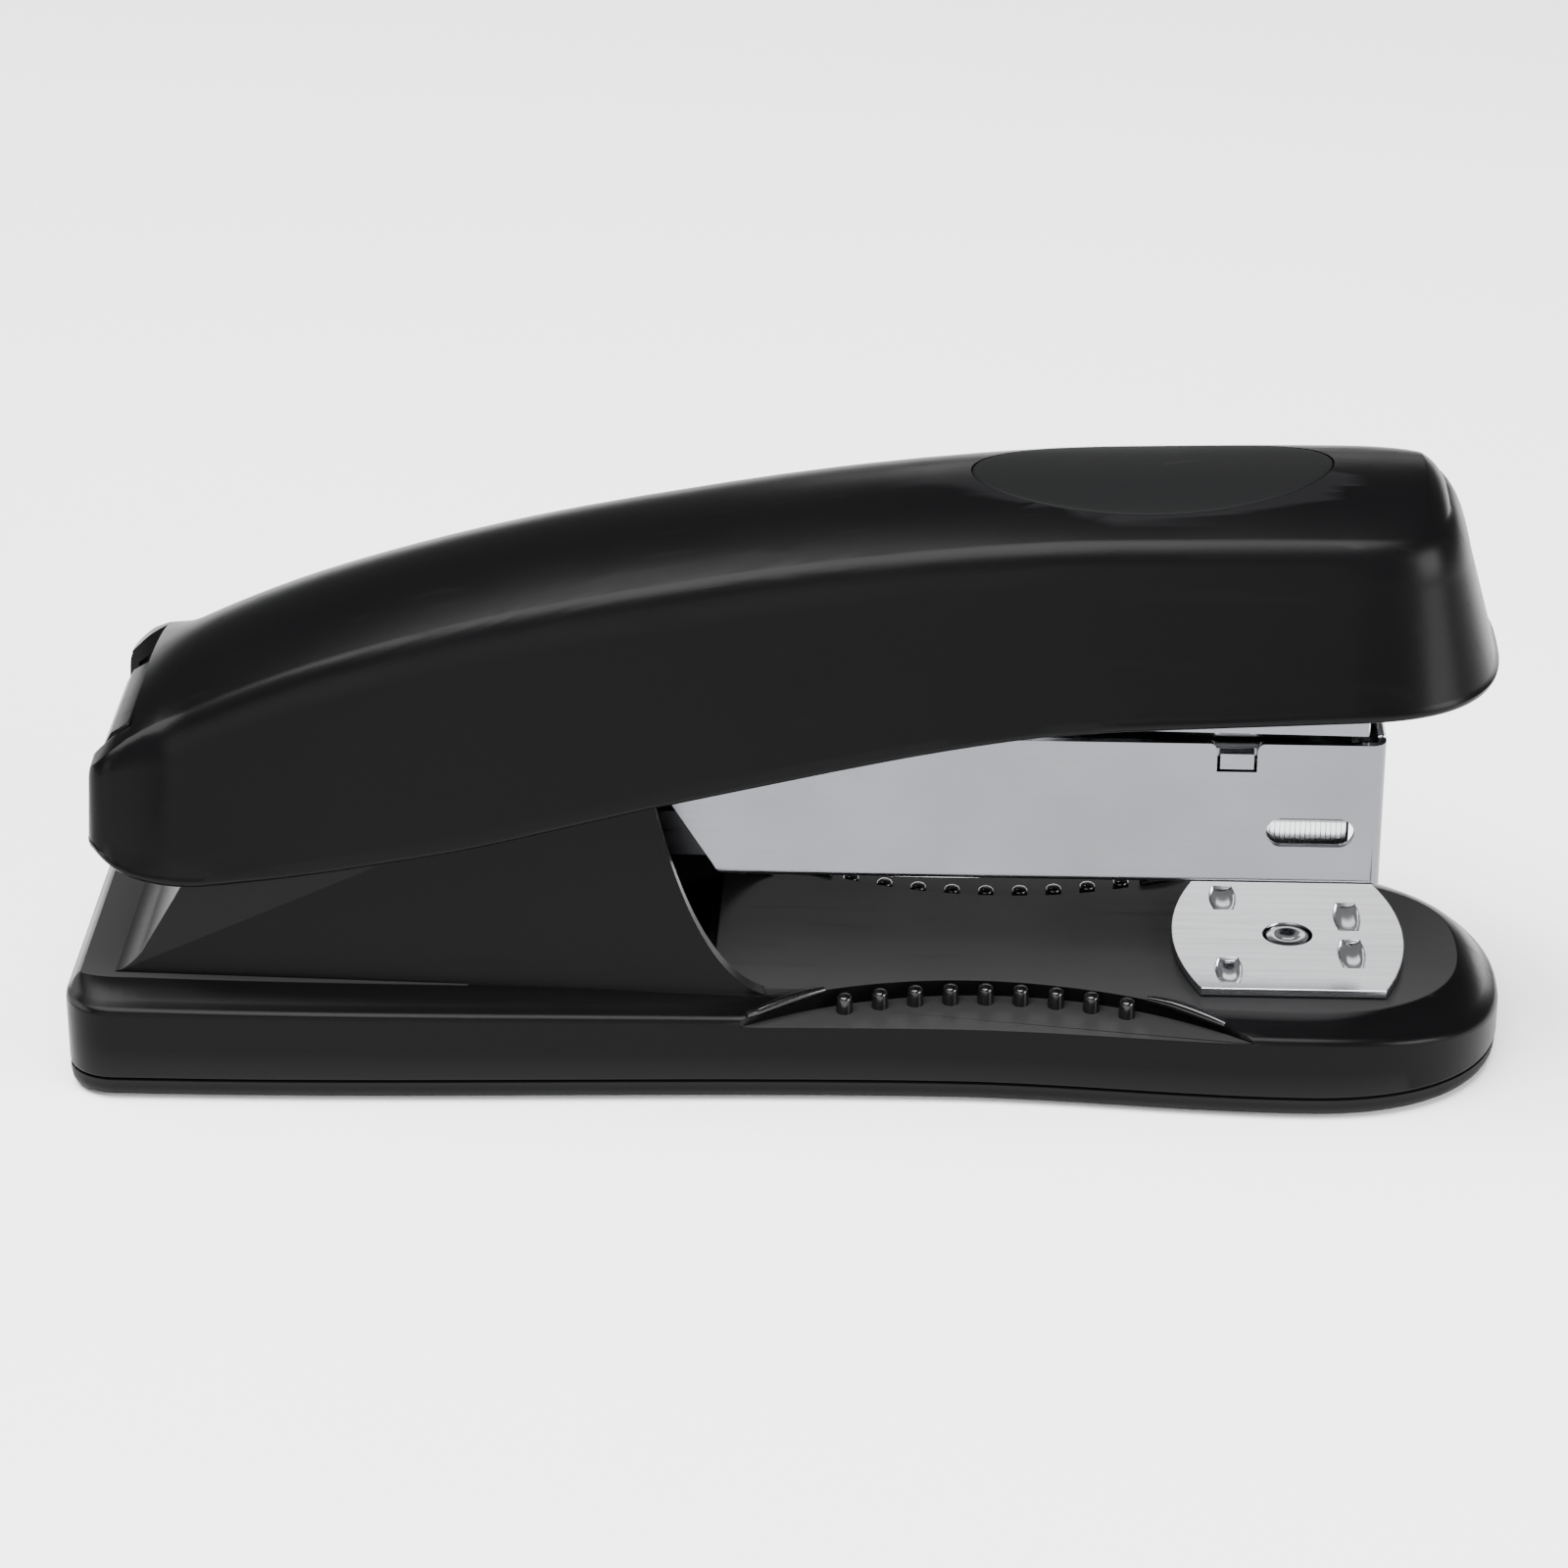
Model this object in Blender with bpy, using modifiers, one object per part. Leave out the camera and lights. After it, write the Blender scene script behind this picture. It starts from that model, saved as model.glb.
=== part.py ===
"""Desk stapler for 24/6 staples: a plastic base and handle round a steel magazine.

Run with:  blender --background --python part.py
Metres, +Z up.  +X points at the stapling end and the model is mirrored about Y = 0.
The origin is the middle of the base's footprint.
"""
import math

import bmesh
import bpy
from mathutils import Matrix, Vector

MM = 0.001

# ---- driving dimensions -------------------------------------------------------------
GAP = 0.3 * MM                    # play between neighbours that rest on each other
PLAY = 0.6 * MM                   # play between neighbours that slide past each other
SIDE_PLAY = 0.4 * MM              # play at each side between the nested sheets
STAPLE_PLAY = 0.65 * MM           # play at each side of the staples in the magazine

BASE_LENGTH = 142.6 * MM
BASE_REAR_HALF = 18.7 * MM        # half widths of the base: rear, waist and front
BASE_WAIST_HALF = 16.6 * MM
BASE_FRONT_HALF = 18.5 * MM
BASE_WAIST_X = 16.0 * MM
BASE_REAR_RADIUS = 5.0 * MM
NOSE_LENGTH = 20.5 * MM
SOLE_HEIGHT = 2.3 * MM
RIM_REAR_Z = 10.4 * MM            # where the side wall of the base meets its sloped band
RIM_FRONT_Z = 9.2 * MM
RIM_NOSE_DROP = 2.5 * MM
DECK_REAR_Z = 11.9 * MM
DECK_FRONT_Z = 10.0 * MM
DECK_FLAT_X = 28.0 * MM           # the deck is level from here to the nose
BAND_WIDTH = 4.3 * MM
BASE_WALL = 1.8 * MM
BASE_CAVITY_Z = 6.0 * MM
REAR_LEAN = 0.35                  # share of an inset that the rear ends keep along X

CHEEK_WALL = 1.6 * MM
CHEEK_LEAN = 3.6                  # share of its half width that a cheek loses for each metre of height
PIT_FLOOR_Z = 6.0 * MM
PIT_FLOOR_THICKNESS = 1.5 * MM
PIT_FRONT_X = -8.5 * MM

GRIP_CENTRE_X = 19.7 * MM
GRIP_INNER_Y = 9.3 * MM           # nearest the grip comes to the middle of the deck
GRIP_RADIUS = 42.6 * MM
GRIP_FLOOR_Z = 8.5 * MM
NUB_COUNT = 9
NUB_PITCH = 3.48 * MM
NUB_RADIUS = 0.95 * MM
NUB_OUT = 1.3 * MM                # from the grip's wall to the middle of a nub

PIN_X = -53.0 * MM
PIN_Z = 27.0 * MM
PIN_RADIUS = 2.0 * MM

SHEET = 0.8 * MM                  # steel sheet of the magazine, the arm and the rail
MAGAZINE_FRONT_X = 58.2 * MM
MAGAZINE_LOW_Z = 20.5 * MM
MAGAZINE_TOP_Z = 35.9 * MM
MAGAZINE_HEEL_X = -6.3 * MM       # lower rear corner of the side plates
MAGAZINE_BEND = 1.5 * MM          # radius of its front corners, seen from above
WINDOW_X = 51.1 * MM
WINDOW_Z = 26.4 * MM
WINDOW_LENGTH = 8.6 * MM
WINDOW_HEIGHT = 3.1 * MM
NOTCH_X = 43.7 * MM
NOTCH_LENGTH = 3.9 * MM
NOTCH_DEPTH = 3.0 * MM

STAPLE_HALF = 6.35 * MM           # 24/6 wire staples, 12.7 mm over the crown
STAPLE_LEG = 5.8 * MM
STAPLE_WIRE = 0.5 * MM
STRIP_LENGTH = 50.0 * MM
DRIVER_X = 56.2 * MM              # middle of the driver blade
DRIVER_THICKNESS = 0.7 * MM
DRIVER_HALF = 6.2 * MM
DRIVER_STROKE = 6.5 * MM
BLADE_RIVET_Y = 3.5 * MM
BLADE_RIVET_Z = 45.4 * MM
BLADE_RIVET_RADIUS = 0.9 * MM

ROD_Z = 31.0 * MM
ROD_RADIUS = 1.0 * MM
ROD_FRONT_X = 51.4 * MM
PUSHER_LENGTH = 8.0 * MM
ROD_BLOCK_X = -42.0 * MM
ROD_BLOCK_LENGTH = 6.0 * MM
PUSHER_SPRING_RADIUS = 2.3 * MM
SPRING_WIRE = 0.35 * MM

ARM_FRONT_X = 57.9 * MM
ARM_LOW_Z = 37.4 * MM
ARM_FRONT_LOW_Z = MAGAZINE_TOP_Z + DRIVER_STROKE + PLAY   # its front plate stops above the magazine
ARM_TOP_REAR_Z = 39.4 * MM
ARM_TOP_FRONT_Z = 50.0 * MM
ARM_LEVEL_X = 10.0 * MM
ARM_TAIL_RADIUS = 14.0 * MM       # the tail is bent to a circle round the hinge pin
ARM_TAIL_START = 147              # degrees from +X, where the bend starts and ends
ARM_TAIL_END = 167
ARM_TAIL_HALF = 7.4 * MM
ARM_TAIL_X = -58.5 * MM           # behind this the arm is only its narrow tail
FRAME_SHEET = 1.0 * MM
FRAME_FRONT_X = -14.0 * MM
PIN_HEAD_RADIUS = 3.2 * MM
PIN_HEAD_THICKNESS = 0.9 * MM
EAR_RADIUS = 4.6 * MM

ANVIL_X = 50.0 * MM
ANVIL_HALF_LENGTH = 11.6 * MM
ANVIL_HALF_WIDTH = 11.7 * MM
ANVIL_CORNER_X = 9.1 * MM
ANVIL_THICKNESS = 0.8 * MM
ANVIL_SLOT_X = 6.2 * MM           # from the swivel to the middle of either pair of slots
ANVIL_SLOT_WIDTH = 2.7 * MM
ANVIL_IN_SLOT = (1.0 * MM, 7.0 * MM)
ANVIL_OUT_SLOT = (5.2 * MM, 10.4 * MM)
STEM_RADIUS = 1.5 * MM
STEM_HEAD_RADIUS = 2.2 * MM
BUTTON_RADIUS = 4.0 * MM
BUTTON_HEIGHT = 1.5 * MM
BUTTON_LOW_Z = 0.9 * MM

HANDLE_REAR_X = -67.3 * MM
HANDLE_FRONT_X = 68.9 * MM
HANDLE_HALF = 17.0 * MM
HANDLE_NOSE_LENGTH = 16.9 * MM
HANDLE_REAR_RADIUS = 3.0 * MM
HANDLE_WALL = 1.8 * MM
HANDLE_NOTCH_X = -63.5 * MM       # the roof ends here and the wings run on behind it
HANDLE_NOTCH_HALF = 12.0 * MM
WING_LOW_Z = 31.0 * MM            # below this the wings pass outside the base's cheeks
CROWN_LINE = [(-67.3, 35.6), (-63.2, 39.6), (-57, 43.3), (-45, 48.2), (-28, 53.2), (-10, 57.0), (7, 59.8),
              (24, 61.6), (40, 62.2), (55, 62.4), (68.9, 62.2)]     # mm, along the middle of the roof
LOWER_LINE = [(-67.3, 26.2), (-63.5, 23.6), (-57, 22.8), (-33, 26.8), (-11, 32.5), (22, 39.9),
              (46, 41.8), (68.9, 42.9)]
SHOULDER = [(3.2, 8.0), (3.7, 5.6), (4.4, 4.3), (5.6, 3.1)]   # mm: inset, drop below the crown
PAD_X = 34.8 * MM
PAD_HALF_LENGTH = 17.5 * MM
PAD_HALF_WIDTH = 8.8 * MM
PAD_THICKNESS = 0.9 * MM
SCREW_RADIUS = 1.2 * MM
SCREW_HEAD_RADIUS = 2.4 * MM
SCREW_HEAD_HEIGHT = 1.2 * MM
BOSS_RADIUS = 2.9 * MM
HANDLE_SCREWS_X = (-28.0 * MM, 34.0 * MM)
FRAME_SCREWS_X = (-50.0 * MM, -18.0 * MM)

# ---- sizes that follow from those above ---------------------------------------------
BASE_REAR_X = -BASE_LENGTH / 2
BASE_FRONT_X = BASE_LENGTH / 2
NOSE_X = BASE_FRONT_X - NOSE_LENGTH
SHELL_LOW_Z = SOLE_HEIGHT + GAP
FRAME_Z = PIT_FLOOR_Z + GAP
FRAME_TOP_Z = FRAME_Z + FRAME_SHEET
MAGAZINE_INNER = STAPLE_HALF + STAPLE_PLAY
MAGAZINE_HALF = MAGAZINE_INNER + SHEET
ARM_HALF = MAGAZINE_HALF + SIDE_PLAY + SHEET
FRAME_HALF = ARM_HALF + SIDE_PLAY + FRAME_SHEET
MAGAZINE_FLOOR_Z = MAGAZINE_LOW_Z + SHEET
PIN_HOLE = PIN_RADIUS + GAP
PIN_HALF = FRAME_HALF + GAP + PIN_HEAD_THICKNESS
CHEEK_HALF = PIN_HALF + SIDE_PLAY + CHEEK_WALL
WING_INNER = CHEEK_HALF + PLAY    # half the space between the wings
STAPLE_LOW_Z = MAGAZINE_FLOOR_Z + GAP
STAPLE_TOP_Z = STAPLE_LOW_Z + STAPLE_LEG
DRIVER_TIP_Z = STAPLE_TOP_Z + GAP
STRIP_FRONT_X = DRIVER_X - DRIVER_THICKNESS / 2 - PLAY
STRIP_REAR_X = STRIP_FRONT_X - STRIP_LENGTH
RAIL_HALF = STAPLE_HALF - STAPLE_WIRE - GAP
RAIL_TOP_Z = STAPLE_TOP_Z - STAPLE_WIRE - GAP
RAIL_REAR_X = ROD_BLOCK_X + ROD_BLOCK_LENGTH + GAP
PUSHER_FRONT_X = STRIP_REAR_X - GAP
PUSHER_REAR_X = PUSHER_FRONT_X - PUSHER_LENGTH
ANVIL_LOW_Z = DECK_FRONT_Z + GAP
ANVIL_TOP_Z = ANVIL_LOW_Z + ANVIL_THICKNESS
BUTTON_TOP_Z = BUTTON_LOW_Z + BUTTON_HEIGHT


# ---- scene, materials and joints' empties -------------------------------------------
def clear_scene():
    for item in list(bpy.data.objects):
        bpy.data.objects.remove(item, do_unlink=True)


def new_collection(name):
    collection = bpy.data.collections.new(name)
    bpy.context.scene.collection.children.link(collection)
    return collection


clear_scene()
PARTS = new_collection("desk_stapler")
CUTTERS = new_collection("cutters")


def material(name, colour, roughness, metallic):
    made = bpy.data.materials.new(name)
    made.use_nodes = True
    shader = made.node_tree.nodes["Principled BSDF"]
    shader.inputs["Base Color"].default_value = (*colour, 1.0)
    shader.inputs["Roughness"].default_value = roughness
    shader.inputs["Metallic"].default_value = metallic
    return made


FINISHES = {
    "satin_black": ((0.020, 0.020, 0.022), 0.45, 0.0),
    "soft_grey": ((0.065, 0.068, 0.070), 0.75, 0.0),
    "sole_black": ((0.030, 0.030, 0.030), 0.85, 0.0),
    "bright_chrome": ((0.72, 0.74, 0.76), 0.16, 1.0),
    "spring_steel": ((0.45, 0.46, 0.48), 0.30, 1.0),
    "dull_steel": ((0.38, 0.38, 0.39), 0.45, 1.0),
}


def finish(item, look):
    """Give a piece a material of its own with one of the finishes."""
    item.data.materials.clear()
    item.data.materials.append(material(item.name, *FINISHES[look]))


def joint_empty(name, place, parent=None):
    empty = bpy.data.objects.new(name, None)
    empty.empty_display_size = 8 * MM
    empty.location = Vector(place) - (parent.matrix_world.translation if parent else Vector())
    empty.parent = parent
    PARTS.objects.link(empty)
    bpy.context.view_layer.update()
    return empty


PIN_PLACE = (PIN_X, 0, PIN_Z)
ANVIL_PLACE = (ANVIL_X, 0, ANVIL_LOW_Z)
BASE_EMPTY = joint_empty("base_frame_of_reference", (0, 0, 0))
MAGAZINE_EMPTY = joint_empty("magazine_press_axis", PIN_PLACE, BASE_EMPTY)
PUSHER_EMPTY = joint_empty("pusher_slide_axis", (PUSHER_FRONT_X, 0, ROD_Z), MAGAZINE_EMPTY)
PRESS_EMPTY = joint_empty("handle_press_axis", PIN_PLACE, MAGAZINE_EMPTY)
HANDLE_EMPTY = joint_empty("handle_open_axis", PIN_PLACE, PRESS_EMPTY)
LIFT_EMPTY = joint_empty("anvil_lift_axis", ANVIL_PLACE, BASE_EMPTY)
TURN_EMPTY = joint_empty("anvil_turn_axis", ANVIL_PLACE, LIFT_EMPTY)


def place(item, look, parent):
    """Move a finished piece into the model, with its origin on its joint's axis."""
    origin = parent.matrix_world.translation.copy()
    item.data.transform(Matrix.Translation(-origin))
    item.location = (0, 0, 0)
    item.parent = parent
    finish(item, look)
    return item


# ---- shapes -------------------------------------------------------------------------
def add_mesh(name, mesh, collection=PARTS):
    item = bpy.data.objects.new(name, mesh)
    collection.objects.link(item)
    if collection is CUTTERS:
        item.hide_render = True
        item.display_type = "WIRE"
    return item


def from_bmesh(name, shape, collection=PARTS):
    mesh = bpy.data.meshes.new(name)
    bmesh.ops.recalc_face_normals(shape, faces=shape.faces)
    shape.to_mesh(mesh)
    shape.free()
    return add_mesh(name, mesh, collection)


def box(name, low, high, collection=PARTS):
    low, high = Vector(low), Vector(high)
    shape = bmesh.new()
    bmesh.ops.create_cube(shape, size=1.0)
    bmesh.ops.scale(shape, vec=high - low, verts=shape.verts)
    bmesh.ops.translate(shape, vec=(low + high) / 2, verts=shape.verts)
    return from_bmesh(name, shape, collection)


def cylinder(name, radius, start, end, sides=24, collection=PARTS):
    start, end = Vector(start), Vector(end)
    shape = bmesh.new()
    bmesh.ops.create_cone(shape, cap_ends=True, segments=sides, radius1=radius, radius2=radius,
                          depth=(end - start).length)
    turn = Vector((0, 0, 1)).rotation_difference(end - start).to_matrix().to_4x4()
    bmesh.ops.transform(shape, matrix=Matrix.Translation((start + end) / 2) @ turn, verts=shape.verts)
    return from_bmesh(name, shape, collection)


def plate(name, outline, low, high, axis="Y", collection=PARTS):
    """A flat outline given some thickness: (x, z) points across Y, or (x, y) points across Z."""
    curve = bpy.data.curves.new(name, "CURVE")
    curve.dimensions = "2D"
    curve.fill_mode = "BOTH"
    curve.extrude = (high - low) / 2
    spline = curve.splines.new("POLY")
    spline.points.add(len(outline) - 1)
    for point, (across, up) in zip(spline.points, outline):
        point.co = (across, up, 0, 1)
    spline.use_cyclic_u = True
    source = bpy.data.objects.new(name, curve)
    PARTS.objects.link(source)
    if axis == "Y":
        source.rotation_euler = (math.pi / 2, 0, 0)
        source.location = (0, (low + high) / 2, 0)
    else:
        source.location = (0, 0, (low + high) / 2)
    return curve_to_mesh(name, source, collection)


def curve_to_mesh(name, source, collection=PARTS):
    bpy.context.view_layer.update()
    evaluated = source.evaluated_get(bpy.context.evaluated_depsgraph_get())
    mesh = bpy.data.meshes.new_from_object(evaluated)
    mesh.transform(source.matrix_world)
    shape = bmesh.new()
    shape.from_mesh(mesh)
    bmesh.ops.remove_doubles(shape, verts=shape.verts, dist=1e-6)
    bpy.data.objects.remove(source, do_unlink=True)
    return from_bmesh(name, shape, collection)


def wire(name, points, radius, flat=1.0):
    """A bent wire through the given points; flat is how many radii wide it is across Y."""
    curve = bpy.data.curves.new(name, "CURVE")
    curve.dimensions = "3D"
    curve.bevel_depth = radius
    curve.bevel_resolution = 2
    curve.use_fill_caps = True
    spline = curve.splines.new("POLY")
    spline.points.add(len(points) - 1)
    for point, co in zip(spline.points, points):
        point.co = (co[0], co[1] / flat, co[2], 1)
    source = bpy.data.objects.new(name, curve)
    source.scale = (1, flat, 1)
    PARTS.objects.link(source)
    return curve_to_mesh(name, source)


def turned(name, profile, centre, sides=24):
    """A turned piece: (radius, height) points down its outer side, spun about Z."""
    shape = bmesh.new()
    ring = [shape.verts.new((radius, 0, height)) for radius, height in profile]
    for first, second in zip(ring[:-1], ring[1:]):
        shape.edges.new((first, second))
    mesh = bpy.data.meshes.new(name)
    shape.to_mesh(mesh)
    shape.free()
    item = add_mesh(name, mesh)
    item.location = (centre[0], centre[1], 0)
    screw = item.modifiers.new("turn", "SCREW")
    screw.steps = screw.render_steps = sides
    screw.use_merge_vertices = True
    screw.merge_threshold = 1e-6
    return apply_modifiers(item)


def apply_modifiers(item):
    bpy.context.view_layer.update()
    evaluated = item.evaluated_get(bpy.context.evaluated_depsgraph_get())
    mesh = bpy.data.meshes.new_from_object(evaluated)
    mesh.transform(item.matrix_world)
    item.modifiers.clear()
    item.data = mesh
    item.location = (0, 0, 0)
    return item


def boolean(item, tool, operation="DIFFERENCE"):
    modifier = item.modifiers.new(operation.lower(), "BOOLEAN")
    modifier.operation = operation
    modifier.solver = "EXACT"
    modifier.object = tool
    apply_modifiers(item)
    bpy.data.objects.remove(tool, do_unlink=True)
    return item


def merge(item, tool):
    return boolean(item, tool, "UNION")


def smooth(item, angle=35):
    item.data.shade_smooth()
    item.data.set_sharp_from_angle(angle=math.radians(angle))
    return item


def arc(centre, radius, start, end, count):
    """Points on a circle, from one angle to another in degrees."""
    angles = [math.radians(start + (end - start) * step / count) for step in range(count + 1)]
    return [(centre[0] + radius * math.cos(a), centre[1] + radius * math.sin(a)) for a in angles]


def bezier(first, pull, last, count):
    """Points on a curve that leaves one end towards a third point and arrives from it."""
    made = []
    for step in range(count + 1):
        t = step / count
        made.append(tuple((1 - t) ** 2 * a + 2 * t * (1 - t) * b + t * t * c
                          for a, b, c in zip(first, pull, last)))
    return made


def ease(t):
    t = min(max(t, 0.0), 1.0)
    return t * t * (3 - 2 * t)


def along(stations, x):
    """A smooth line through (x, z) stations in millimetres, read at x in metres."""
    x = min(max(x / MM, stations[0][0]), stations[-1][0])
    index = max(i for i in range(len(stations) - 1) if stations[i][0] <= x)
    (x0, z0), (x1, z1) = stations[index:index + 2]

    def slope(i):
        i0, i1 = max(i - 1, 0), min(i + 1, len(stations) - 1)
        return (stations[i1][1] - stations[i0][1]) / (stations[i1][0] - stations[i0][0])

    span, t = x1 - x0, (x - x0) / (x1 - x0)
    start, end = slope(index) * span, slope(index + 1) * span
    curve = z0 + t * start + t * t * (3 * (z1 - z0) - 2 * start - end) \
        + t ** 3 * (2 * (z0 - z1) + start + end)
    return curve * MM


# ---- outlines and lofts -------------------------------------------------------------
def half_outline(rear_x, front_x, half_width, rear_radius, nose_length, power, side_steps=12):
    """Half of a plan outline, from the middle of its rear end round to the tip of its nose."""
    points = [(rear_x, 0.0)]
    rear_half = half_width(rear_x + rear_radius)
    points += arc((rear_x + rear_radius, rear_half - rear_radius), rear_radius, 180, 90, 4)
    nose_x = front_x - nose_length
    for step in range(1, side_steps + 1):
        x = rear_x + rear_radius + (nose_x - rear_x - rear_radius) * step / side_steps
        points.append((x, half_width(x)))
    nose_half = half_width(nose_x)
    for step in range(1, 13):
        angle = math.pi / 2 * (1 - step / 12)
        points.append((nose_x + nose_length * math.cos(angle) ** (2 / power),
                       nose_half * math.sin(angle) ** (2 / power) if step < 12 else 0.0))
    return points


def inset_outline(points, inset):
    """The same half outline moved inwards; the rear end moves by only a share of it."""
    moved = []
    for index, (x, y) in enumerate(points):
        before = points[index - 1] if index else (x, -points[1][1])
        after = points[index + 1] if index + 1 < len(points) else (x, -points[-2][1])
        if index == 0:
            before = (points[1][0], -points[1][1])
        if index == len(points) - 1:
            after = (points[-2][0], -points[-2][1])
        run = Vector((after[0] - before[0], after[1] - before[1])).normalized()
        out = Vector((-run.y, run.x))
        lean = REAR_LEAN if out.x < 0 else 1.0
        moved.append((x - out.x * inset * lean, max(y - out.y * inset, 0.0)))
    return moved


def loft(name, rings, collection=PARTS):
    """Join half outlines (x, y, z) into a closed body, mirrored about Y = 0.

    The first and the last ring are closed by a strip to the middle line.
    """
    shape = bmesh.new()
    rows = []
    for ring in rings:
        near = [shape.verts.new(co) for co in ring]
        far = [shape.verts.new((x, -y, z)) for x, y, z in ring[1:-1]]
        rows.append(near + far[::-1])
    for low, high in zip(rows[:-1], rows[1:]):
        for index in range(len(low)):
            after = (index + 1) % len(low)
            shape.faces.new((low[index], low[after], high[after], high[index]))
    bmesh.ops.remove_doubles(shape, verts=shape.verts, dist=2e-6)
    bmesh.ops.dissolve_degenerate(shape, dist=1e-7, edges=shape.edges)
    return from_bmesh(name, shape, collection)


def flat_ring(outline, inset, height):
    return [(x, y, height(x)) for x, y in inset_outline(outline, inset)]


def middle_line(ring):
    return [(x, 0.0, z) for x, y, z in ring]


def base_half(x):
    if x < BASE_WAIST_X:
        start = BASE_REAR_X + 10 * MM
        share = ease((x - start) / (BASE_WAIST_X - start))
        return BASE_REAR_HALF + (BASE_WAIST_HALF - BASE_REAR_HALF) * share
    share = ease((x - BASE_WAIST_X) / (NOSE_X - BASE_WAIST_X))
    return BASE_WAIST_HALF + (BASE_FRONT_HALF - BASE_WAIST_HALF) * share


def sloped(rear_z, front_z):
    def height(x):
        share = min(max((x - BASE_REAR_X) / (DECK_FLAT_X - BASE_REAR_X), 0.0), 1.0)
        return rear_z + (front_z - rear_z) * share
    return height


def rim_z(x):
    nose = max(x - NOSE_X, 0.0) / NOSE_LENGTH
    return sloped(RIM_REAR_Z, RIM_FRONT_Z)(x) - RIM_NOSE_DROP * nose * nose


deck_z = sloped(DECK_REAR_Z, DECK_FRONT_Z)
BASE_OUTLINE = half_outline(BASE_REAR_X, BASE_FRONT_X, base_half, BASE_REAR_RADIUS, NOSE_LENGTH, 2.3)


def saddle_profile():
    """Side view of the raised rear of the base: rear ramp, top of the cheeks and front sweep."""
    low = PIT_FLOOR_Z - PIT_FLOOR_THICKNESS
    rear = BASE_REAR_X + 4.5 * MM
    ramp = [(rear, deck_z(rear) - 1 * MM), (-65.6 * MM, deck_z(rear) + 0.1 * MM), (-64.3 * MM, 12.7 * MM),
            (-60.2 * MM, 19.8 * MM), (-57.6 * MM, 24.4 * MM)]
    sweep = bezier((-13.2 * MM, 32.5 * MM), (-9.0 * MM, 12.0 * MM), (-1.5 * MM, 10.4 * MM), 10)
    front = (PIT_FRONT_X + 4 * MM, low)
    top = [(-50 * MM, 28.6 * MM), (-24 * MM, 31.0 * MM)]
    return [(rear, low)] + ramp + top + sweep + [(-1.5 * MM, 9 * MM), front]


def pit_profile():
    wall = CHEEK_WALL
    high = 45 * MM
    return [(-62.4 * MM, PIT_FLOOR_Z), (PIT_FRONT_X, PIT_FLOOR_Z), (PIT_FRONT_X, 9.5 * MM),
            (PIT_FRONT_X + wall, 11.4 * MM), (PIT_FRONT_X + wall + 12 * MM, 11.4 * MM),
            (PIT_FRONT_X + wall + 12 * MM, high), (-60.0 * MM, high), (-60.0 * MM, 22.7 * MM),
            (-57.6 * MM, 22.2 * MM), (-59.0 * MM, 19.6 * MM), (-62.4 * MM, 13.4 * MM)]


def grip_point(offset, x):
    """Where the grip's wall stands at x, moved outwards by offset; offset 0 is the wall."""
    radius = GRIP_RADIUS - offset
    return GRIP_INNER_Y + GRIP_RADIUS - math.sqrt(radius ** 2 - (x - GRIP_CENTRE_X) ** 2)


def grip_cutter(side):
    centre = (GRIP_CENTRE_X, GRIP_INNER_Y + GRIP_RADIUS)
    points = arc(centre, GRIP_RADIUS, -145, -35, 40)
    outline = [(x, side * y) for x, y in points]
    return plate("grip_cutter", outline, GRIP_FLOOR_Z, 20 * MM, axis="Z", collection=CUTTERS)


def base_shell():
    low = [SHELL_LOW_Z]
    bottom = flat_ring(BASE_OUTLINE, 0.0, lambda x: low[0])
    rings = [middle_line(bottom), bottom,
             flat_ring(BASE_OUTLINE, 0.0, lambda x: rim_z(x) - 0.8 * MM),
             flat_ring(BASE_OUTLINE, 0.25 * MM, lambda x: rim_z(x) - 0.25 * MM),
             flat_ring(BASE_OUTLINE, 0.9 * MM, rim_z),
             flat_ring(BASE_OUTLINE, BAND_WIDTH, deck_z)]
    rings.append(middle_line(rings[-1]))
    shell = loft("base_shell", rings)
    inner = [flat_ring(BASE_OUTLINE, BASE_WALL, lambda x: 0.0),
             flat_ring(BASE_OUTLINE, BASE_WALL, lambda x: BASE_CAVITY_Z)]
    cavity = loft("base_cavity", [middle_line(inner[0])] + inner + [middle_line(inner[1])], CUTTERS)
    boolean(shell, cavity)
    saddle = plate("saddle", saddle_profile(), -CHEEK_HALF, CHEEK_HALF, collection=CUTTERS)
    for vertex in saddle.data.vertices:
        vertex.co.y *= 1 - CHEEK_LEAN * (vertex.co.z - DECK_REAR_Z)
    merge(shell, saddle)
    pit_half = CHEEK_HALF - CHEEK_WALL
    boolean(shell, plate("pit", pit_profile(), -pit_half, pit_half, collection=CUTTERS))
    for side in (-1, 1):
        boolean(shell, grip_cutter(side))
        for index in range(NUB_COUNT):
            x = GRIP_CENTRE_X + (index - (NUB_COUNT - 1) / 2) * NUB_PITCH
            y = side * grip_point(NUB_OUT, x)
            nub = cylinder("nub", NUB_RADIUS, (x, y, GRIP_FLOOR_Z - 1 * MM), (x, y, deck_z(x) - 0.2 * MM), 10,
                           CUTTERS)
            merge(shell, nub)
    for x in FRAME_SCREWS_X:
        boolean(shell, cylinder("screw_hole", SCREW_RADIUS + GAP, (x, 0, 0), (x, 0, PIT_FLOOR_Z + 1 * MM), 16,
                                CUTTERS))
    boolean(shell, cylinder("stem_hole", STEM_RADIUS + GAP, (ANVIL_X, 0, 0), (ANVIL_X, 0, 20 * MM), 20,
                            CUTTERS))
    place(smooth(shell), "satin_black", BASE_EMPTY)


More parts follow.
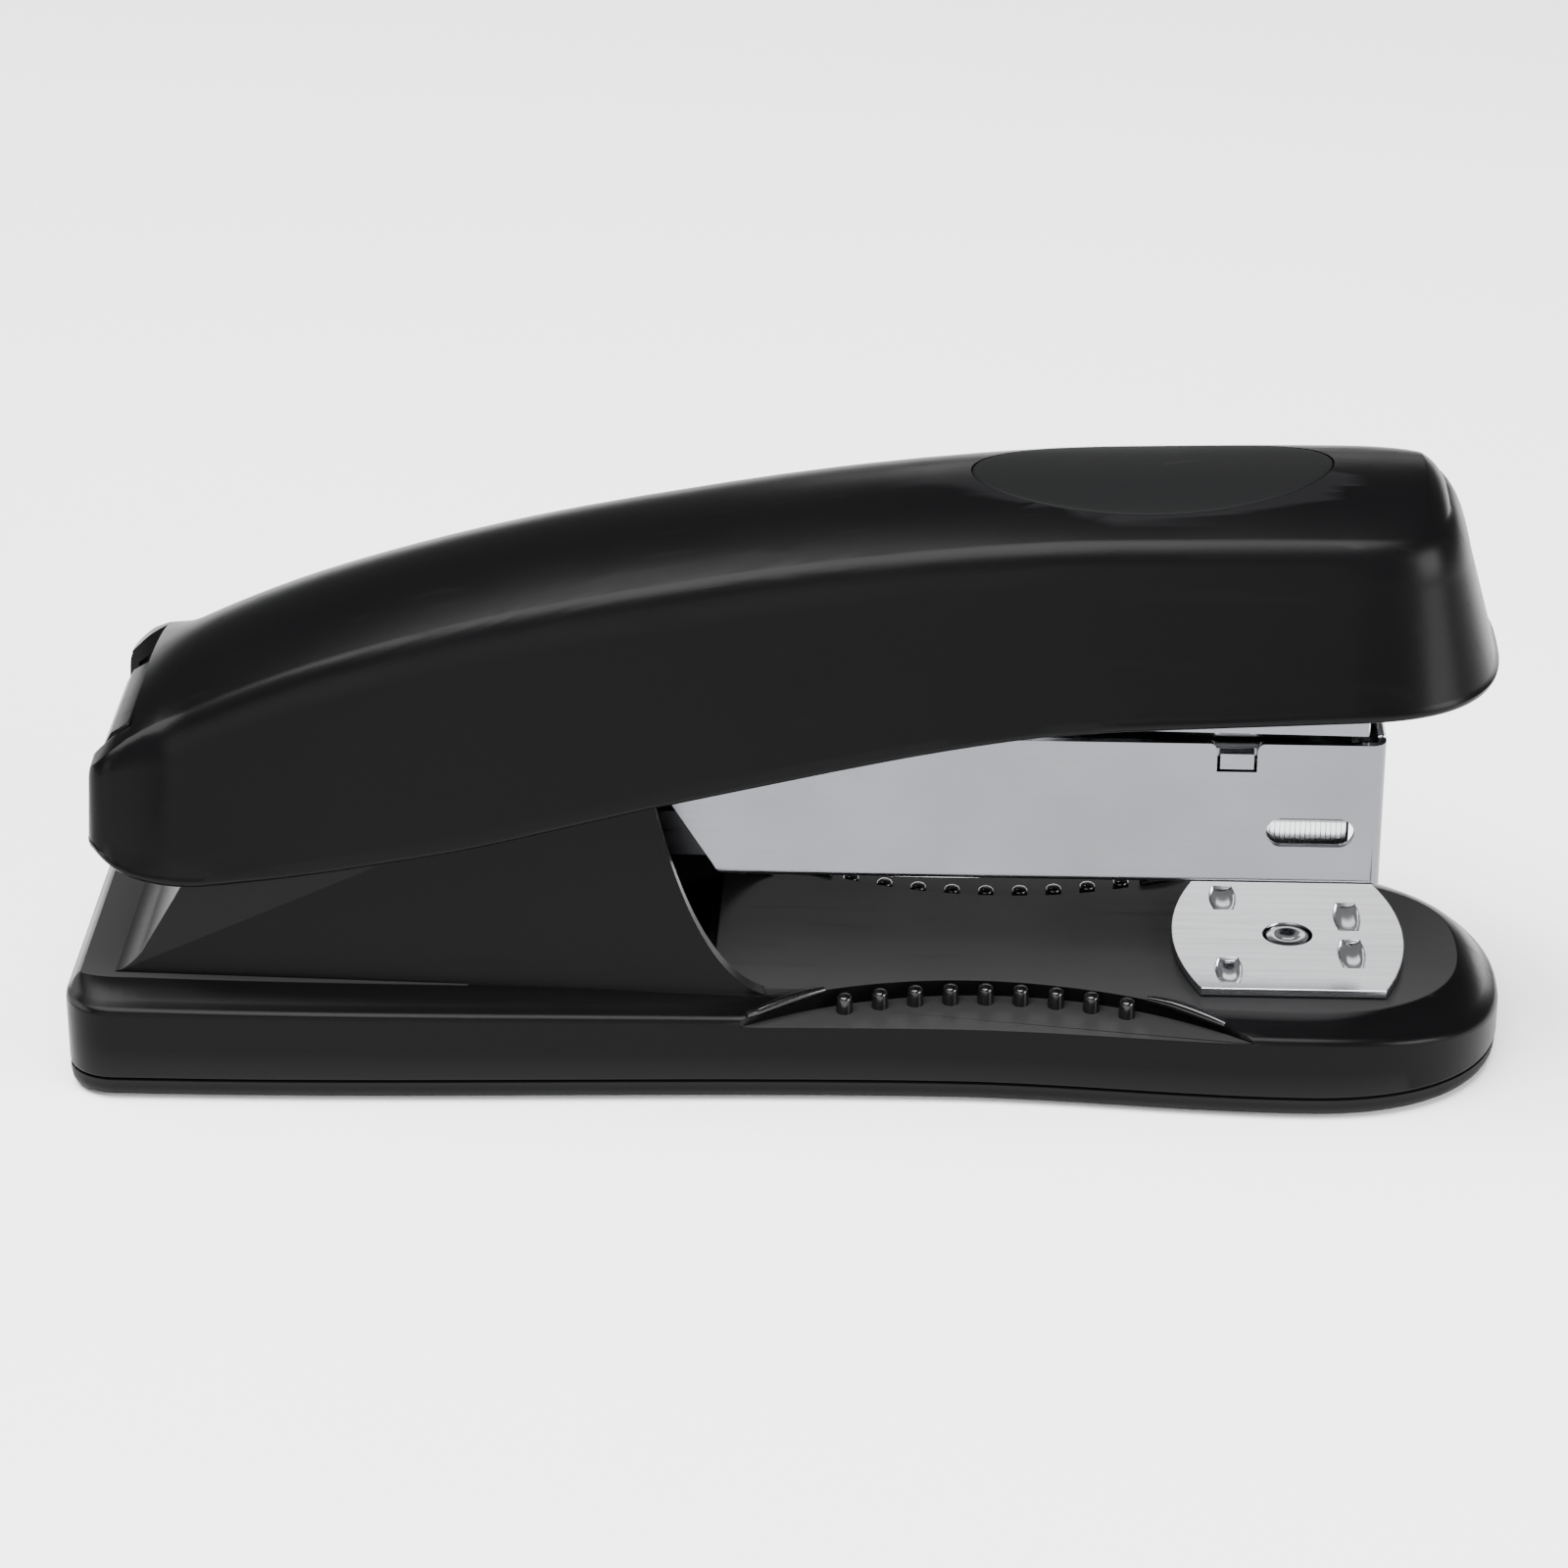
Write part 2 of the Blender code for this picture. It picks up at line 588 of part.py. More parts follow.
def base_sole():
    steps = [(2.2, 0.0), (1.0, 0.3), (0.25, 1.1), (0.0, 2.3)]
    rings = [flat_ring(BASE_OUTLINE, inset * MM, lambda x, z=z: z * MM) for inset, z in steps]
    rings = [middle_line(rings[0])] + rings + [middle_line(rings[-1])]
    sole = loft("base_sole", rings)
    boolean(sole, cylinder("button_hole", BUTTON_RADIUS + PLAY, (ANVIL_X, 0, -1 * MM), (ANVIL_X, 0, 5 * MM), 24,
                           CUTTERS))
    place(smooth(sole), "sole_black", BASE_EMPTY)


def base_frame():
    """Steel channel on the floor of the pit, whose two ears carry the hinge pin."""
    ear = [(PIN_X - 2 * MM, FRAME_Z)] + arc((PIN_X, PIN_Z), EAR_RADIUS, 205, 0, 12) \
        + [(PIN_X + 14 * MM, FRAME_Z + 6 * MM), (FRAME_FRONT_X, FRAME_Z + 3 * MM), (FRAME_FRONT_X, FRAME_Z)]
    frame = plate("base_frame", ear, -FRAME_HALF, FRAME_HALF)
    inner = FRAME_HALF - FRAME_SHEET
    boolean(frame, box("channel", (-90 * MM, -inner, FRAME_TOP_Z), (20 * MM, inner, 60 * MM), CUTTERS))
    boolean(frame, pin_hole())
    for x in FRAME_SCREWS_X:
        boolean(frame, cylinder("screw_hole", SCREW_RADIUS + GAP, (x, 0, 0), (x, 0, 20 * MM), 16, CUTTERS))
    place(smooth(frame), "dull_steel", BASE_EMPTY)


def pin_hole():
    half = HANDLE_HALF + 5 * MM
    return cylinder("pin_hole", PIN_HOLE, (PIN_X, -half, PIN_Z), (PIN_X, half, PIN_Z), 24, CUTTERS)


def hinge_pin():
    pin = cylinder("hinge_pin", PIN_RADIUS, (PIN_X, -PIN_HALF + 0.1 * MM, PIN_Z),
                   (PIN_X, PIN_HALF - 0.1 * MM, PIN_Z), 24)
    for side in (-1, 1):
        head = cylinder("pin_head", PIN_HEAD_RADIUS, (PIN_X, side * (FRAME_HALF + GAP), PIN_Z),
                        (PIN_X, side * PIN_HALF, PIN_Z), 24, CUTTERS)
        merge(pin, head)
    place(smooth(pin), "dull_steel", BASE_EMPTY)


def screw_up(name, x, y, head_z, tip_z, parent):
    """A pan-head screw pointing up: head below, tip above."""
    head_top = head_z + SCREW_HEAD_HEIGHT
    profile = [(0, tip_z), (SCREW_RADIUS * 0.7, tip_z), (SCREW_RADIUS, tip_z - 0.6 * MM), (SCREW_RADIUS, head_top),
               (SCREW_HEAD_RADIUS, head_top), (SCREW_HEAD_RADIUS, head_z + 0.3 * MM),
               (SCREW_HEAD_RADIUS - 0.4 * MM, head_z), (0, head_z)]
    place(smooth(turned(name, profile, (x, y), 20)), "dull_steel", parent)


def lift_spring():
    """Leaf spring in the pit that carries the magazine's rail and lifts the magazine."""
    foot = FRAME_TOP_Z + GAP + 0.4 * MM
    tip = (-20 * MM, STAPLE_LOW_Z - GAP - 1.2 * MM)
    line = [(-46 * MM, foot), (-40 * MM, foot)] + bezier((-38 * MM, foot), (-30 * MM, foot), tip, 8)[1:]
    thickness = 0.3 * MM
    outline = [(x, z + thickness) for x, z in line] + [(x, z - thickness) for x, z in reversed(line)]
    place(smooth(plate("lift_spring", outline, -4 * MM, 4 * MM)), "spring_steel", BASE_EMPTY)


def coil(name, centre, radius, start, end, turns, axis, steps=12):
    """A compression spring; start and end are the middles of its first and last wire."""
    points = []
    for step in range(turns * steps + 1):
        angle = 2 * math.pi * step / steps
        across, up = radius * math.cos(angle), radius * math.sin(angle)
        run = start + (end - start) * step / (turns * steps)
        points.append((run, across + centre[0], up + centre[1]) if axis == "X"
                      else (across + centre[0], up + centre[1], run))
    return smooth(wire(name, points, SPRING_WIRE), 60)


# ---- anvil --------------------------------------------------------------------------
def anvil_plate():
    bulge = ANVIL_HALF_LENGTH - ANVIL_CORNER_X
    radius = (ANVIL_HALF_WIDTH ** 2 + bulge ** 2) / (2 * bulge)
    spread = math.degrees(math.asin(ANVIL_HALF_WIDTH / radius))
    right = arc((ANVIL_X + ANVIL_HALF_LENGTH - radius, 0), radius, -spread, spread, 12)
    left = arc((ANVIL_X - ANVIL_HALF_LENGTH + radius, 0), radius, 180 - spread, 180 + spread, 12)
    anvil = plate("anvil_plate", right + left, ANVIL_LOW_Z, ANVIL_TOP_Z, axis="Z")
    for side in (-1, 1):
        for x, (near, far) in ((ANVIL_SLOT_X, ANVIL_IN_SLOT), (-ANVIL_SLOT_X, ANVIL_OUT_SLOT)):
            low_y, high_y = sorted((side * near, side * far))
            boolean(anvil, box("slot", (ANVIL_X + x - ANVIL_SLOT_WIDTH / 2, low_y, ANVIL_LOW_Z - 1 * MM),
                               (ANVIL_X + x + ANVIL_SLOT_WIDTH / 2, high_y, ANVIL_TOP_Z + 1 * MM), CUTTERS))
    boolean(anvil, cylinder("hub", STEM_HEAD_RADIUS + GAP, (ANVIL_X, 0, 0), (ANVIL_X, 0, 20 * MM), 24, CUTTERS))
    place(smooth(anvil), "bright_chrome", TURN_EMPTY)


def anvil_stem_and_button():
    top, low = ANVIL_TOP_Z, BUTTON_LOW_Z + 0.6 * MM
    profile = [(0, top - 0.15 * MM), (0.5 * MM, top), (STEM_HEAD_RADIUS, top), (STEM_HEAD_RADIUS, ANVIL_LOW_Z),
               (STEM_RADIUS, ANVIL_LOW_Z), (STEM_RADIUS, low), (0, low)]
    place(smooth(turned("anvil_stem", profile, (ANVIL_X, 0))), "bright_chrome", LIFT_EMPTY)
    button = turned("anvil_button", [
        (STEM_RADIUS + GAP, BUTTON_TOP_Z), (BUTTON_RADIUS - 0.3 * MM, BUTTON_TOP_Z),
        (BUTTON_RADIUS, BUTTON_TOP_Z - 0.3 * MM), (BUTTON_RADIUS, BUTTON_LOW_Z + 0.4 * MM),
        (BUTTON_RADIUS - 0.4 * MM, BUTTON_LOW_Z), (0, BUTTON_LOW_Z), (0, BUTTON_LOW_Z + 0.3 * MM),
        (STEM_RADIUS + GAP, BUTTON_LOW_Z + 0.3 * MM), (STEM_RADIUS + GAP, BUTTON_TOP_Z)], (ANVIL_X, 0))
    place(smooth(button), "satin_black", LIFT_EMPTY)


# ---- magazine -----------------------------------------------------------------------
def magazine_profile():
    """Side plate: a deep box in front, a slanted heel, and an arm back to the hinge."""
    eye = EAR_RADIUS - 0.2 * MM
    return [(MAGAZINE_FRONT_X, MAGAZINE_LOW_Z), (MAGAZINE_FRONT_X, MAGAZINE_TOP_Z), (-30 * MM, MAGAZINE_TOP_Z)] \
        + arc((PIN_X, PIN_Z), eye, 75, 270, 12) \
        + [(-40 * MM, STAPLE_LOW_Z), (-16 * MM, STAPLE_LOW_Z + 3 * MM), (-12.8 * MM, 29.6 * MM),
           (-11.6 * MM, 28.6 * MM), (MAGAZINE_HEEL_X - 0.9 * MM, MAGAZINE_LOW_Z + 0.8 * MM),
           (MAGAZINE_HEEL_X, MAGAZINE_LOW_Z)]


def magazine_channel():
    channel = plate("magazine_channel", magazine_profile(), -MAGAZINE_HALF, MAGAZINE_HALF)
    radius = MAGAZINE_BEND
    nose_x, nose_y = MAGAZINE_FRONT_X - radius, MAGAZINE_HALF - radius
    plan = [(-90 * MM, MAGAZINE_HALF + 1 * MM), (-90 * MM, -MAGAZINE_HALF - 1 * MM),
            (nose_x, -MAGAZINE_HALF - 1 * MM)] + arc((nose_x, -nose_y), radius, -90, 0, 4) \
        + arc((nose_x, nose_y), radius, 0, 90, 4) + [(nose_x, MAGAZINE_HALF + 1 * MM)]
    boolean(channel, plate("plan", plan, 0, 60 * MM, axis="Z", collection=CUTTERS), "INTERSECT")
    inner = MAGAZINE_INNER
    boolean(channel, box("inside", (-90 * MM, -inner, MAGAZINE_FLOOR_Z),
                         (MAGAZINE_FRONT_X - SHEET, inner, 60 * MM), CUTTERS))
    exit_low, exit_high = DRIVER_X - 1.0 * MM, DRIVER_X + 1.0 * MM
    boolean(channel, box("exit", (exit_low, -STAPLE_HALF - GAP, 10 * MM),
                         (exit_high, STAPLE_HALF + GAP, MAGAZINE_FLOOR_Z + 1 * MM), CUTTERS))
    radius = WINDOW_HEIGHT / 2
    reach = WINDOW_LENGTH / 2 - radius
    window = arc((WINDOW_X + reach, WINDOW_Z), radius, -90, 90, 8) \
        + arc((WINDOW_X - reach, WINDOW_Z), radius, 90, 270, 8)
    boolean(channel, plate("window", window, -20 * MM, 20 * MM, collection=CUTTERS))
    boolean(channel, box("notch", (NOTCH_X - NOTCH_LENGTH / 2, -20 * MM, MAGAZINE_TOP_Z - NOTCH_DEPTH),
                         (NOTCH_X + NOTCH_LENGTH / 2, 20 * MM, 60 * MM), CUTTERS))
    boolean(channel, pin_hole())
    place(smooth(channel), "bright_chrome", MAGAZINE_EMPTY)


def staple_rail():
    """Inverted channel that the staples straddle."""
    rail = box("staple_rail", (RAIL_REAR_X, -RAIL_HALF, STAPLE_LOW_Z),
               (STRIP_FRONT_X - 0.2 * MM, RAIL_HALF, RAIL_TOP_Z))
    boolean(rail, box("inside", (-90 * MM, -RAIL_HALF + SHEET, 0), (90 * MM, RAIL_HALF - SHEET, RAIL_TOP_Z - SHEET),
                      CUTTERS))
    place(rail, "dull_steel", MAGAZINE_EMPTY)


def staple_strip():
    strip = box("staple_strip", (STRIP_REAR_X, -STAPLE_HALF, STAPLE_LOW_Z), (STRIP_FRONT_X, STAPLE_HALF, STAPLE_TOP_Z))
    inner = STAPLE_HALF - STAPLE_WIRE
    boolean(strip, box("inside", (-90 * MM, -inner, 0), (90 * MM, inner, STAPLE_TOP_Z - STAPLE_WIRE), CUTTERS))
    place(strip, "spring_steel", MAGAZINE_EMPTY)


def driver_guide():
    """Bridge at the front of the magazine: its ears sit in the notches and its lug holds the rod."""
    top = MAGAZINE_TOP_Z - 0.9 * MM
    half = MAGAZINE_INNER - GAP
    ear_half = NOTCH_LENGTH / 2 - GAP
    front_x = DRIVER_X - 1.2 * MM
    bridge = box("driver_guide", (NOTCH_X - 5 * MM, -half, top - SHEET), (front_x, half, top))
    for side in (-1, 1):
        low_y, high_y = sorted((side * (half - SHEET), side * (MAGAZINE_HALF + 0.1 * MM)))
        merge(bridge, box("ear", (NOTCH_X - ear_half, low_y, MAGAZINE_TOP_Z - NOTCH_DEPTH + GAP),
                          (NOTCH_X + ear_half, high_y, top - 0.1 * MM), CUTTERS))
    merge(bridge, box("lug", (ROD_FRONT_X - 1.4 * MM, -2.4 * MM, ROD_Z - 2.4 * MM),
                      (ROD_FRONT_X - 0.4 * MM, 2.4 * MM, top - 0.2 * MM), CUTTERS))
    boolean(bridge, rod_hole())
    place(bridge, "bright_chrome", MAGAZINE_EMPTY)


def rod_hole():
    return cylinder("rod_hole", ROD_RADIUS + GAP, (-90 * MM, 0, ROD_Z), (90 * MM, 0, ROD_Z), 16, CUTTERS)


def rod_block():
    block = box("rod_block", (ROD_BLOCK_X, -MAGAZINE_INNER + GAP, STAPLE_LOW_Z + 0.6 * MM),
                (ROD_BLOCK_X + ROD_BLOCK_LENGTH, MAGAZINE_INNER - GAP, ROD_Z + 3 * MM))
    boolean(block, rod_hole())
    place(block, "dull_steel", MAGAZINE_EMPTY)


def guide_rod():
    rod = cylinder("guide_rod", ROD_RADIUS, (ROD_BLOCK_X - 1 * MM, 0, ROD_Z), (ROD_FRONT_X, 0, ROD_Z), 16)
    place(smooth(rod), "bright_chrome", MAGAZINE_EMPTY)


def pusher():
    """Saddle that runs over the rail behind the staples, guided by the rod."""
    half = MAGAZINE_INNER - PLAY
    saddle = box("pusher", (PUSHER_REAR_X, -half, STAPLE_LOW_Z + GAP), (PUSHER_FRONT_X, half, ROD_Z + 2.6 * MM))
    inner = RAIL_HALF + GAP
    boolean(saddle, box("rail_way", (-90 * MM, -inner, 0), (90 * MM, inner, RAIL_TOP_Z + GAP), CUTTERS))
    boolean(saddle, rod_hole())
    place(saddle, "satin_black", PUSHER_EMPTY)


def pusher_spring():
    start = ROD_BLOCK_X + ROD_BLOCK_LENGTH + GAP + SPRING_WIRE
    end = PUSHER_REAR_X - GAP - SPRING_WIRE
    spring = coil("pusher_spring", (0, ROD_Z), PUSHER_SPRING_RADIUS, start, end, 12, "X", 10)
    place(spring, "spring_steel", MAGAZINE_EMPTY)


# ---- handle -------------------------------------------------------------------------
def return_spring():
    """Leaf spring from the driver guide up to the arm's underside, which lifts the handle."""
    start_z = MAGAZINE_TOP_Z - 0.9 * MM + GAP + 0.3 * MM
    end_z = ARM_TOP_FRONT_Z - SHEET - GAP - 0.4 * MM
    line = [(52.5 * MM, start_z + 1.0 * MM), (50.5 * MM, start_z)] \
        + bezier((42 * MM, start_z), (25 * MM, start_z), (12 * MM, end_z), 8)
    thickness = 0.25 * MM
    outline = [(x, z + thickness) for x, z in line] + [(x, z - thickness) for x, z in reversed(line)]
    place(smooth(plate("return_spring", outline, -5 * MM, 5 * MM)), "bright_chrome", PRESS_EMPTY)


def arm_profile():
    tail = arc((PIN_X, PIN_Z), ARM_TAIL_RADIUS, ARM_TAIL_START, ARM_TAIL_END, 8)
    return [(ARM_FRONT_X, ARM_LOW_Z), (ARM_FRONT_X, ARM_TOP_FRONT_Z), (ARM_LEVEL_X, ARM_TOP_FRONT_Z),
            (PIN_X + 3 * MM, ARM_TOP_REAR_Z)] + tail \
        + arc((PIN_X, PIN_Z), EAR_RADIUS, 215, 300, 6) + [(-30 * MM, 33.5 * MM), (5 * MM, ARM_LOW_Z + 0.6 * MM)]


def driver_arm():
    """Inverted steel channel from the hinge to the driver blade."""
    arm = plate("driver_arm", arm_profile(), -ARM_HALF, ARM_HALF)
    inner = ARM_HALF - SHEET
    hollow = [(ARM_FRONT_X - SHEET, 0), (ARM_FRONT_X - SHEET, ARM_TOP_FRONT_Z - SHEET),
              (ARM_LEVEL_X, ARM_TOP_FRONT_Z - SHEET), (PIN_X + 3 * MM, ARM_TOP_REAR_Z - SHEET)] \
        + arc((PIN_X, PIN_Z), ARM_TAIL_RADIUS - SHEET, ARM_TAIL_START, 200, 10) + [(PIN_X - 12 * MM, 0)]
    boolean(arm, plate("hollow", hollow, -inner, inner, collection=CUTTERS))
    for side in (-1, 1):
        near, far = sorted((side * ARM_TAIL_HALF, side * 20 * MM))
        boolean(arm, box("tail_side", (-90 * MM, near, 0), (ARM_TAIL_X, far, 60 * MM), CUTTERS))
    boolean(arm, box("front_clearance", (DRIVER_X, -20 * MM, 0), (90 * MM, 20 * MM, ARM_FRONT_LOW_Z), CUTTERS))
    boolean(arm, pin_hole())
    for x in HANDLE_SCREWS_X:
        boolean(arm, cylinder("screw_hole", SCREW_RADIUS + GAP, (x, 0, arm_top(x) - 5 * MM),
                              (x, 0, arm_top(x) + 5 * MM), 16, CUTTERS))
    for side in (-1, 1):
        boolean(arm, blade_rivet_hole(side))
    place(smooth(arm), "bright_chrome", HANDLE_EMPTY)


def arm_top(x):
    share = min((x - PIN_X - 3 * MM) / (ARM_LEVEL_X - PIN_X - 3 * MM), 1.0)
    return ARM_TOP_REAR_Z + (ARM_TOP_FRONT_Z - ARM_TOP_REAR_Z) * share




def blade_rivet_hole(side):
    y = side * BLADE_RIVET_Y
    return cylinder("rivet_hole", BLADE_RIVET_RADIUS + GAP, (DRIVER_X - 3 * MM, y, BLADE_RIVET_Z),
                    (ARM_FRONT_X + 3 * MM, y, BLADE_RIVET_Z), 12, CUTTERS)


def driver_blade():
    front = DRIVER_X + DRIVER_THICKNESS / 2
    blade = box("driver_blade", (DRIVER_X - DRIVER_THICKNESS / 2, -DRIVER_HALF, DRIVER_TIP_Z),
                (front, DRIVER_HALF, ARM_TOP_FRONT_Z - SHEET - GAP))
    for side in (-1, 1):
        boolean(blade, blade_rivet_hole(side))
    place(blade, "spring_steel", HANDLE_EMPTY)
    for side, name in ((-1, "blade_rivet_right"), (1, "blade_rivet_left")):
        y = side * BLADE_RIVET_Y
        rivet = cylinder(name, BLADE_RIVET_RADIUS, (DRIVER_X - 1.4 * MM, y, BLADE_RIVET_Z),
                         (ARM_FRONT_X + 1.0 * MM, y, BLADE_RIVET_Z), 12)
        for start, end in ((DRIVER_X - 1.5 * MM, DRIVER_X - DRIVER_THICKNESS / 2 - GAP),
                           (ARM_FRONT_X + GAP, ARM_FRONT_X + 1.1 * MM)):
            merge(rivet, cylinder("head", BLADE_RIVET_RADIUS * 1.8, (start, y, BLADE_RIVET_Z),
                                  (end, y, BLADE_RIVET_Z), 12, CUTTERS))
        place(smooth(rivet), "dull_steel", HANDLE_EMPTY)


EDGE_HALF = HANDLE_HALF - SHOULDER[-1][0] * MM - HANDLE_WALL   # where the shoulder meets the roof's crown
HANDLE_OUTLINE = half_outline(HANDLE_REAR_X, HANDLE_FRONT_X, lambda x: HANDLE_HALF, HANDLE_REAR_RADIUS,
                              HANDLE_NOSE_LENGTH, 2.8, 16)


def handle_body(name, skin, low_extra, collection=PARTS):
    """The handle's outer form, or that form moved in by a skin thickness."""
    start = flat_ring(HANDLE_OUTLINE, skin, lambda x: along(LOWER_LINE, x) - low_extra)
    rings = [middle_line(start), start]
    first_inset, first_drop = SHOULDER[0]
    for share in (0.06, 0.35, 0.7):
        inset = skin + first_inset * MM * share

        def side_height(x, share=share):
            low, high = along(LOWER_LINE, x), along(CROWN_LINE, x) - first_drop * MM - skin
            return low + (high - low) * share
        rings.append(flat_ring(HANDLE_OUTLINE, inset, side_height))
    for inset, drop in SHOULDER:
        rings.append(flat_ring(HANDLE_OUTLINE, inset * MM + skin,
                               lambda x, drop=drop: along(CROWN_LINE, x) - drop * MM - skin))
    edge = rings[-1]
    for share in (0.75, 0.5, 0.25, 0.0):
        rise = SHOULDER[-1][1] * MM * (1 - share * share)
        rings.append([(x, y * share, z + rise * min(y / EDGE_HALF, 1.0) ** 2) for x, y, z in edge])
    return loft(name, rings, collection)


def pad_prism(name, clearance, collection):
    outline = [(PAD_X + (PAD_HALF_LENGTH - clearance) * math.cos(a), (PAD_HALF_WIDTH - clearance) * math.sin(a))
               for a in (2 * math.pi * (step + 0.5) / 36 for step in range(36))]
    return plate(name, outline, 40 * MM, 80 * MM, axis="Z", collection=collection)


def handle_cover():
    cover = handle_body("handle_cover", 0.0, 0.0)
    boolean(cover, handle_body("handle_inside", HANDLE_WALL, 4 * MM, CUTTERS))
    boolean(cover, box("rear_notch", (-90 * MM, -HANDLE_NOTCH_HALF, 10 * MM),
                       (HANDLE_NOTCH_X, HANDLE_NOTCH_HALF, 60 * MM), CUTTERS))
    boolean(cover, box("ramp_clearance", (-90 * MM, -WING_INNER, 10 * MM),
                       (HANDLE_NOTCH_X, WING_INNER, WING_LOW_Z), CUTTERS))
    pocket = pad_prism("pad_pocket", 0.0, CUTTERS)
    boolean(pocket, handle_body("pocket_floor", PAD_THICKNESS + GAP, 0.0, CUTTERS))
    boolean(cover, pocket)
    for x in HANDLE_SCREWS_X:
        low_z = arm_top(x) + GAP + slope_gap(x)
        high_z = along(CROWN_LINE, x) - HANDLE_WALL + 0.6 * MM
        merge(cover, cylinder("boss", BOSS_RADIUS, (x, 0, low_z), (x, 0, high_z), 20, CUTTERS))
        boolean(cover, cylinder("boss_hole", SCREW_RADIUS + GAP, (x, 0, low_z - 2 * MM), (x, 0, high_z - 2 * MM),
                                16, CUTTERS))
    place(smooth(cover), "satin_black", HANDLE_EMPTY)


def slope_gap(x):
    """How far the sloping arm rises across a boss, so that the boss clears it."""
    return arm_top(x + BOSS_RADIUS) - arm_top(x)


def thumb_pad():
    pad = pad_prism("thumb_pad", GAP, PARTS)
    boolean(pad, handle_body("pad_top", 0.0, 0.0, CUTTERS), "INTERSECT")
    boolean(pad, handle_body("pad_floor", PAD_THICKNESS, 0.0, CUTTERS))
    place(smooth(pad), "soft_grey", HANDLE_EMPTY)


def rear_cap():
    """Faceted plug between the wings, behind the end of the roof."""
    under_roof = 33.6 * MM
    profile = [(-61.6 * MM, 31.8 * MM), (-61.6 * MM, under_roof), (HANDLE_NOTCH_X - GAP, under_roof),
               (HANDLE_NOTCH_X - 1.0 * MM, 36.2 * MM), (-66.4 * MM, 35.0 * MM), (-67.2 * MM, 33.6 * MM),
               (-67.2 * MM, 31.8 * MM)]
    cap = plate("rear_cap", profile, -7.6 * MM, 7.6 * MM)
    clearance = cylinder("tail_clearance", ARM_TAIL_RADIUS + GAP, (PIN_X, -30 * MM, PIN_Z),
                         (PIN_X, 30 * MM, PIN_Z), 64, CUTTERS)
    boolean(cap, clearance)
    place(cap, "satin_black", HANDLE_EMPTY)


def handle_screws():
    for name, x in zip(("handle_screw_rear", "handle_screw_front"), HANDLE_SCREWS_X):
        head_z = arm_top(x - SCREW_HEAD_RADIUS) - SHEET * 1.1 - GAP - SCREW_HEAD_HEIGHT
        screw_up(name, x, 0, head_z, arm_top(x) + 5 * MM, HANDLE_EMPTY)


def frame_screws():
    floor = PIT_FLOOR_Z - PIT_FLOOR_THICKNESS
    for name, x in zip(("frame_screw_rear", "frame_screw_front"), FRAME_SCREWS_X):
        screw_up(name, x, 0, floor - GAP - SCREW_HEAD_HEIGHT, FRAME_TOP_Z - 0.1 * MM, BASE_EMPTY)


def anvil_spring():
    start = BUTTON_TOP_Z + GAP + SPRING_WIRE
    end = BASE_CAVITY_Z - GAP - SPRING_WIRE
    spring = coil("anvil_spring", (0, 0), STEM_RADIUS + PLAY + SPRING_WIRE, start, end, 3, "Z", 12)
    spring.data.transform(Matrix.Translation((ANVIL_X, 0, 0)))
    place(spring, "spring_steel", BASE_EMPTY)


def main():
    base_shell()
    base_sole()
    base_frame()
    frame_screws()
    hinge_pin()
    lift_spring()
    anvil_plate()
    anvil_stem_and_button()
    anvil_spring()
    magazine_channel()
    staple_rail()
    staple_strip()
    driver_guide()
    rod_block()
    guide_rod()
    pusher()
    pusher_spring()
    return_spring()
    driver_arm()
    driver_blade()
    handle_cover()
    thumb_pad()
    rear_cap()
    handle_screws()


main()
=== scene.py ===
"""Desk stapler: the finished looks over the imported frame, with a small studio round it.

Every length is in metres in the frame's own axes: +X points at the stapling end and +Z up.
"""
import math

import bmesh
import bpy
from mathutils import Matrix, Vector


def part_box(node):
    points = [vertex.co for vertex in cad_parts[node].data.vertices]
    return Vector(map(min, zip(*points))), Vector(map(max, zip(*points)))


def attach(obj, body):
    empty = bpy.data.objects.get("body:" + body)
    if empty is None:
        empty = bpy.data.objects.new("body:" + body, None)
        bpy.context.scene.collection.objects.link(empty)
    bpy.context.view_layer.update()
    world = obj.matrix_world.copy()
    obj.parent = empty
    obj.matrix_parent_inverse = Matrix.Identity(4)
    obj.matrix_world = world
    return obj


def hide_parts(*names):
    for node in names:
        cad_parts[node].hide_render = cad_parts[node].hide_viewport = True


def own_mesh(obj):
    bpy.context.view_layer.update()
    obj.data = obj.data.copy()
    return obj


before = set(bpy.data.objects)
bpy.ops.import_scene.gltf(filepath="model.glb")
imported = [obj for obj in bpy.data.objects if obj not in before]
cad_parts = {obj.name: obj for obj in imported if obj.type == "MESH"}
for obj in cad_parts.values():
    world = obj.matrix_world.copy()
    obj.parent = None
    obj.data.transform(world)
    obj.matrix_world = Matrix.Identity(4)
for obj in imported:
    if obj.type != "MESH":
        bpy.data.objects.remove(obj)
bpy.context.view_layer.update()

bl_info = {
    "name": "Desk stapler",
    "version": (1, 0, 0),
    "blender": (4, 5, 0),
    "location": "View3D > Sidebar > Stapler",
    "description": "Builds the finished shells, steelwork, springs and studio of a desk stapler",
    "category": "Object",
}

MM = 0.001
CAD_SEAM = 0.3 * MM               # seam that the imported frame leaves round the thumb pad
CHEEK_LEAN = 3.6                  # share of its half width that a cheek loses for each metre of height
BASE_SCREWS_X = (-50 * MM, -18 * MM)
VIEW_TARGET = (-0.68 * MM, 0.0, 27.0 * MM)


def length(name, description, millimetres):
    return bpy.props.FloatProperty(name=name, description=description, default=millimetres * MM, unit="LENGTH",
                                   precision=5)


def colour(name, description, value):
    return bpy.props.FloatVectorProperty(name=name, description=description, default=value, subtype="COLOR",
                                         size=3, min=0.0, max=1.0)


